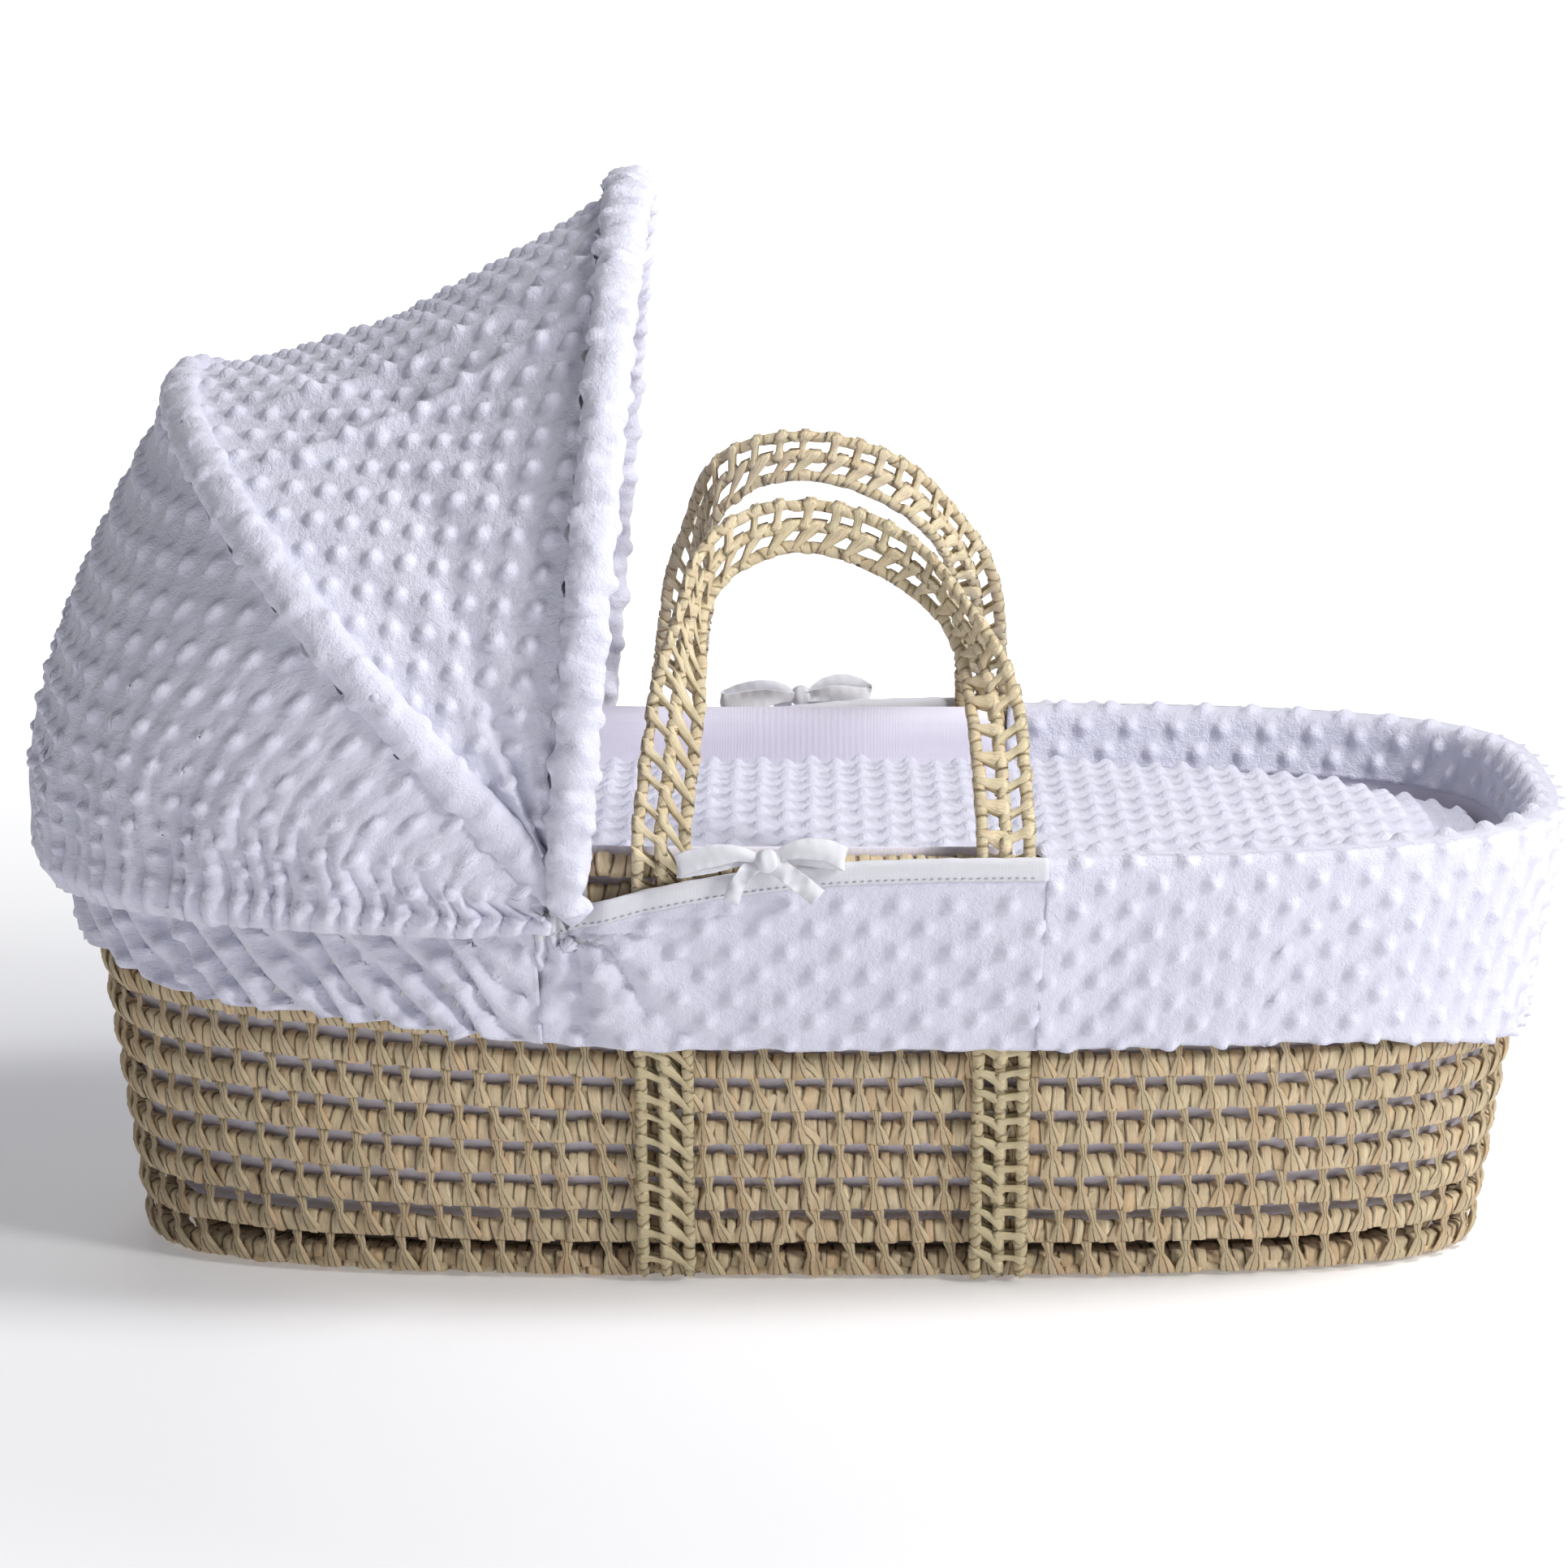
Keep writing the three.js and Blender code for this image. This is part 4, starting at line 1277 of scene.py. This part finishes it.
def ribbonBow(sideName, side, x, z):
    y = side * (float(widthAt(x, z, 0.0)) + ribbonSet["stand"])
    meshes = []
    for seed, (name, part) in enumerate(ribbonParts.items(), 1):
        stops = [(x + along, y + side * out, z + up) for along, out, up in part["stops"]]
        meshes.append(ribbonMesh(name, stops, part, seed))
    meshes.append(knotOfRibbon((x, y + side * 0.0015, z)))
    nodes = [f"tie_{sideName}"]
    return addPiece(f"{sideName}_ribbon_bow", meshes, "white_cotton", "basket", nodes, capped=True)


def buildBinding(sideName, side):
    s = bindingSet
    tape, flat = bindingSurface(side)
    mesh = clothMesh("binding", tape, flat, s["steps"], basketMiddle, 0.0, 0.0, s["thickness"], 22)
    nodes = [f"binding_{sideName}"]
    return addPiece(f"{sideName}_slot_binding", [mesh], "white_cotton", "basket", nodes, capped=True)


def buildStitches(sideName, side):
    s = panelSet

    def seam(share):
        x = lerp(s["head"] + 0.004, s["foot"] - 0.002, share)
        z = panelTop(x) - bindingSet["height"] + stitchSet["fromEdge"]
        centre = onPanel(side, x, z, panelFolds(x, panelTop(x)) + stitchSet["proud"])
        return centre, np.array([0, side, 0.0]), np.array([0, 0, 1.0])

    row = stitchRow(seam, s["foot"] - s["head"])
    name = f"{sideName}_binding_stitches"
    return addPiece(name, [row], "white_cotton", "basket", capped=True, finishes=[threadCotton])


def buildPanel(sideName, side, bowX, bowZ):
    s = panelSet
    surface, flat = panelSurface(side)

    def dots(u, v):
        x = lerp(s["head"], s["foot"], u)
        return smoothstep((1 - v) * (panelTop(x) - hemHeight(x)), *s["dotMargin"])

    mesh = clothMesh("panel", surface, flat, s["steps"], basketMiddle, 0.0, dots, backRows=24)
    nodes = [f"panel_{sideName}"]
    panel = addPiece(f"{sideName}_side_panel", [mesh], "dimple_fleece", "basket", nodes, capped=True)
    parts = [buildBinding(sideName, side), buildStitches(sideName, side)]
    parts.append(ribbonBow(sideName, side, bowX, bowZ))


buildPanel("near", -1, -0.024, 0.2605)
buildPanel("far", 1, -0.006, 0.2600)

# bedding: liner bag, mattress and coverlet

linerSet = {
    "inset": -0.0092, "top": 0.2435, "slotTop": 0.2602, "floor": 0.0115, "steps": (420, 60),
    "corner": 0.022, "cornerTop": 0.050, "slotTuck": 0.0042, "floorShare": 0.36, "thickness": 0.0012,
}


def cornerInset(z):  # how far the bedding draws in towards its rounded bottom edge
    s = linerSet
    return -s["corner"] * (1 - smoothstep(z, s["floor"], s["cornerTop"]))


def linerSurface(u, v):  # from the middle of the floor out, then up the wall
    s = linerSet
    theta = u * fullTurn
    rise = np.clip((v - s["floorShare"]) / (1 - s["floorShare"]), 0, 1)
    x = onOutline(theta, s["top"], s["inset"])[:, 0]
    slot = smoothstep(x, -0.150, -0.134) * smoothstep(-x, -0.119, -0.106)
    z = s["floor"] + (lerp(s["top"], s["slotTop"], slot) - s["floor"]) * rise
    crease = 0.0006 * wander(np.cos(theta) * 0.5 + z * 0.3, 0.08, 14) - 0.0006
    tuck = -s["slotTuck"] * slot * smoothstep(z, 0.232, 0.243)
    at = onOutline(theta, z, s["inset"] + crease + tuck + cornerInset(z))
    at = at + (v - np.clip(v, 0, 1))[:, None] * np.array([0, 0, 0.2])
    at[:, :2] *= np.clip(v / s["floorShare"], -0.05, 1)[:, None]
    return at


def linerFlat(u, v):
    return np.stack([u * 2.1, v * 0.38], axis=-1)


def buildLiner():
    s = linerSet
    mesh = clothMesh("liner", linerSurface, linerFlat, s["steps"], basketMiddle, 0, 0.0, s["thickness"], 40)
    liner = addPiece("liner_bag", [mesh], "lining_cotton", "basket", ["liner"])


mattressSet = {
    "bottom": 0.0135, "top": 0.058, "inset": -0.0180, "steps": (260, 64), "side": 0.22,
    "crown": 0.004, "quilt": 0.052, "quiltHeight": 0.0018,
}


def mattressPlace(u, v, copy):  # from the middle of the underside out, up the side and in over the top
    s = mattressSet
    middle = (s["bottom"] + s["top"]) / 2
    half = (s["top"] - s["bottom"]) / 2
    fromMiddle = np.abs(v - 0.5)
    onSide = fromMiddle < s["side"]
    spread = np.where(onSide, 1, np.clip((0.5 - fromMiddle) / (0.5 - s["side"]), 0, 1))
    bulge = np.sin(np.clip(fromMiddle / s["side"], 0, 1) * math.pi / 2)
    lift = half * np.sign(v - 0.5) * np.where(spread >= 1, bulge, 1)
    at = onOutline(u * fullTurn, middle, s["inset"] + cornerInset(middle + lift))
    at[:, :2] *= (spread * (1 - 0.02 * np.abs(lift / half) ** 4))[:, None]
    along = math.pi * (at[:, 0] + at[:, 1]) / s["quilt"]
    across = math.pi * (at[:, 0] - at[:, 1]) / s["quilt"]
    quilt = s["quiltHeight"] * np.abs(np.sin(along) * np.sin(across)) ** 0.5
    crown = s["crown"] * smoothstep(1 - spread, 0, 0.6) + quilt * smoothstep(1 - spread, 0, 0.1)
    at[:, 2] = middle + lift + crown * (v > 0.5)
    return at, at[:, :2].copy()


def buildMattress():
    mesh = gridMesh("mattress", mattressPlace, mattressSet["steps"])[0]
    mattress = addPiece("quilted_mattress", [mesh], "white_cotton", "basket", ["mattress"])


coverSet = {
    "head": -0.192, "edgeInset": -0.0225, "top": 0.2435, "edge": 0.226, "bottom": 0.060, "steps": (196, 290),
    "over": 1.22, "puff": 0.0010, "tuck": 0.006, "sag": 0.006, "headDrop": 0.016, "thickness": 0.003,
    "corner": 0.185,
}


def squareDisc(u, v, power):  # a square of -1 to 1 laid onto the superellipse of half size 1
    size = np.maximum(np.maximum(np.abs(u), np.abs(v)), 1e-6)
    x = u / size
    y = v / size
    corner = coverSet["corner"]
    x, y = x * (1 - corner * y**2), y * (1 - corner * x**2)
    reach = (np.abs(x) ** power + np.abs(y) ** power) ** (1 / power)
    return x / reach, y / reach, size


def coverSurface(u, v):  # u across the basket, v from the folded head edge to the foot
    s = coverSet
    length = halfSizes(s["edge"], s["edgeInset"])[0]
    across = lerp(-s["over"], s["over"], u)
    along = lerp(s["head"] / length, s["over"], v)
    x, y, size = squareDisc(along, across, basketShape["squareness"])
    inside = np.minimum(size, 1)
    beyond = np.clip((size - 1) / (s["over"] - 1), 0, 1.1)
    z = lerp(s["top"], s["edge"], smoothstep(inside, 0.80, 1.0) * 0.75 + 0.25 * inside**6)
    z = z - beyond * (s["edge"] - s["bottom"]) - s["sag"] * smoothstep(inside, 0.0, 1.0)
    length, width = halfSizes(np.minimum(z, s["edge"]), s["edgeInset"] + s["tuck"] * np.minimum(beyond, 1))
    at = points(x * inside * length, y * inside * width, z)
    puffs = wander(at[:, 0] + 0.5 * at[:, 1], 0.11, 61) + wander(at[:, 1] - 0.4 * at[:, 0], 0.09, 62)
    headEdge = np.exp(-np.clip(at[:, 0] - s["head"] + 0.004, 0, 1) / 0.012) * (size < 1)
    at[:, 2] += s["puff"] * puffs * (1 - beyond) - s["headDrop"] * headEdge
    return at


def coverFlat(u, v):
    at = coverSurface(u, v)
    drop = np.clip(coverSet["edge"] - at[:, 2], 0, 1)
    along = at[:, 0] + np.sign(at[:, 0]) * drop * 0.2
    return np.stack([along, at[:, 1] + np.sign(at[:, 1]) * drop], axis=-1)


def buildCoverlet():
    s = coverSet
    steps = s["steps"]
    mesh = clothMesh("coverlet", coverSurface, coverFlat, steps, basketMiddle, 0.0, 1.0, s["thickness"], 30)
    cover = addPiece("dimple_coverlet", [mesh], "dimple_fleece", "basket", ["coverlet"], capped=True)


buildLiner()
buildMattress()
buildCoverlet()

# hood hardware keeps its solids and gets its finish


def makePlastic():
    finish = Finish("bow plastic", Specular_IOR_Level=0.45)
    place = finish.objectSpace()
    grain = finish.noise(place, 900.0, 2.0)
    scuff = finish.noise(finish.stretched(place, (30.0, 30.0, 6.0)), 3.0, 3.0)
    finish.colour(finish.mix(scuff * 0.6, (0.78, 0.78, 0.80), (0.66, 0.66, 0.69)))
    finish.roughness(0.34 + grain * 0.16)
    finish.bump(grain, 0.0002, 0.4)
    return finish.material


def makeSteel():
    finish = Finish("bracket steel", Metallic=1.0)
    place = finish.objectSpace()
    brushed = finish.noise(finish.stretched(place, (60.0, 60.0, 1800.0)), 1.0, 3.0)
    finish.colour(finish.mix(brushed, (0.50, 0.50, 0.52), (0.68, 0.68, 0.70)))
    finish.roughness(0.26 + brushed * 0.2)
    finish.bump(brushed, 0.0002, 0.3)
    return finish.material


def dressNodes(names, material):
    for name in names:
        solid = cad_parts[name]
        solid.data.materials.clear()
        solid.data.materials.append(material)


dressNodes(["rear_bow", "front_bow", "hood_bush_near", "hood_bush_far"], makePlastic())
dressNodes(["hood_bracket_near", "hood_bracket_far", "hood_pin_near", "hood_pin_far"], makeSteel())
dressNodes(["hood_elastic"], whiteCotton)
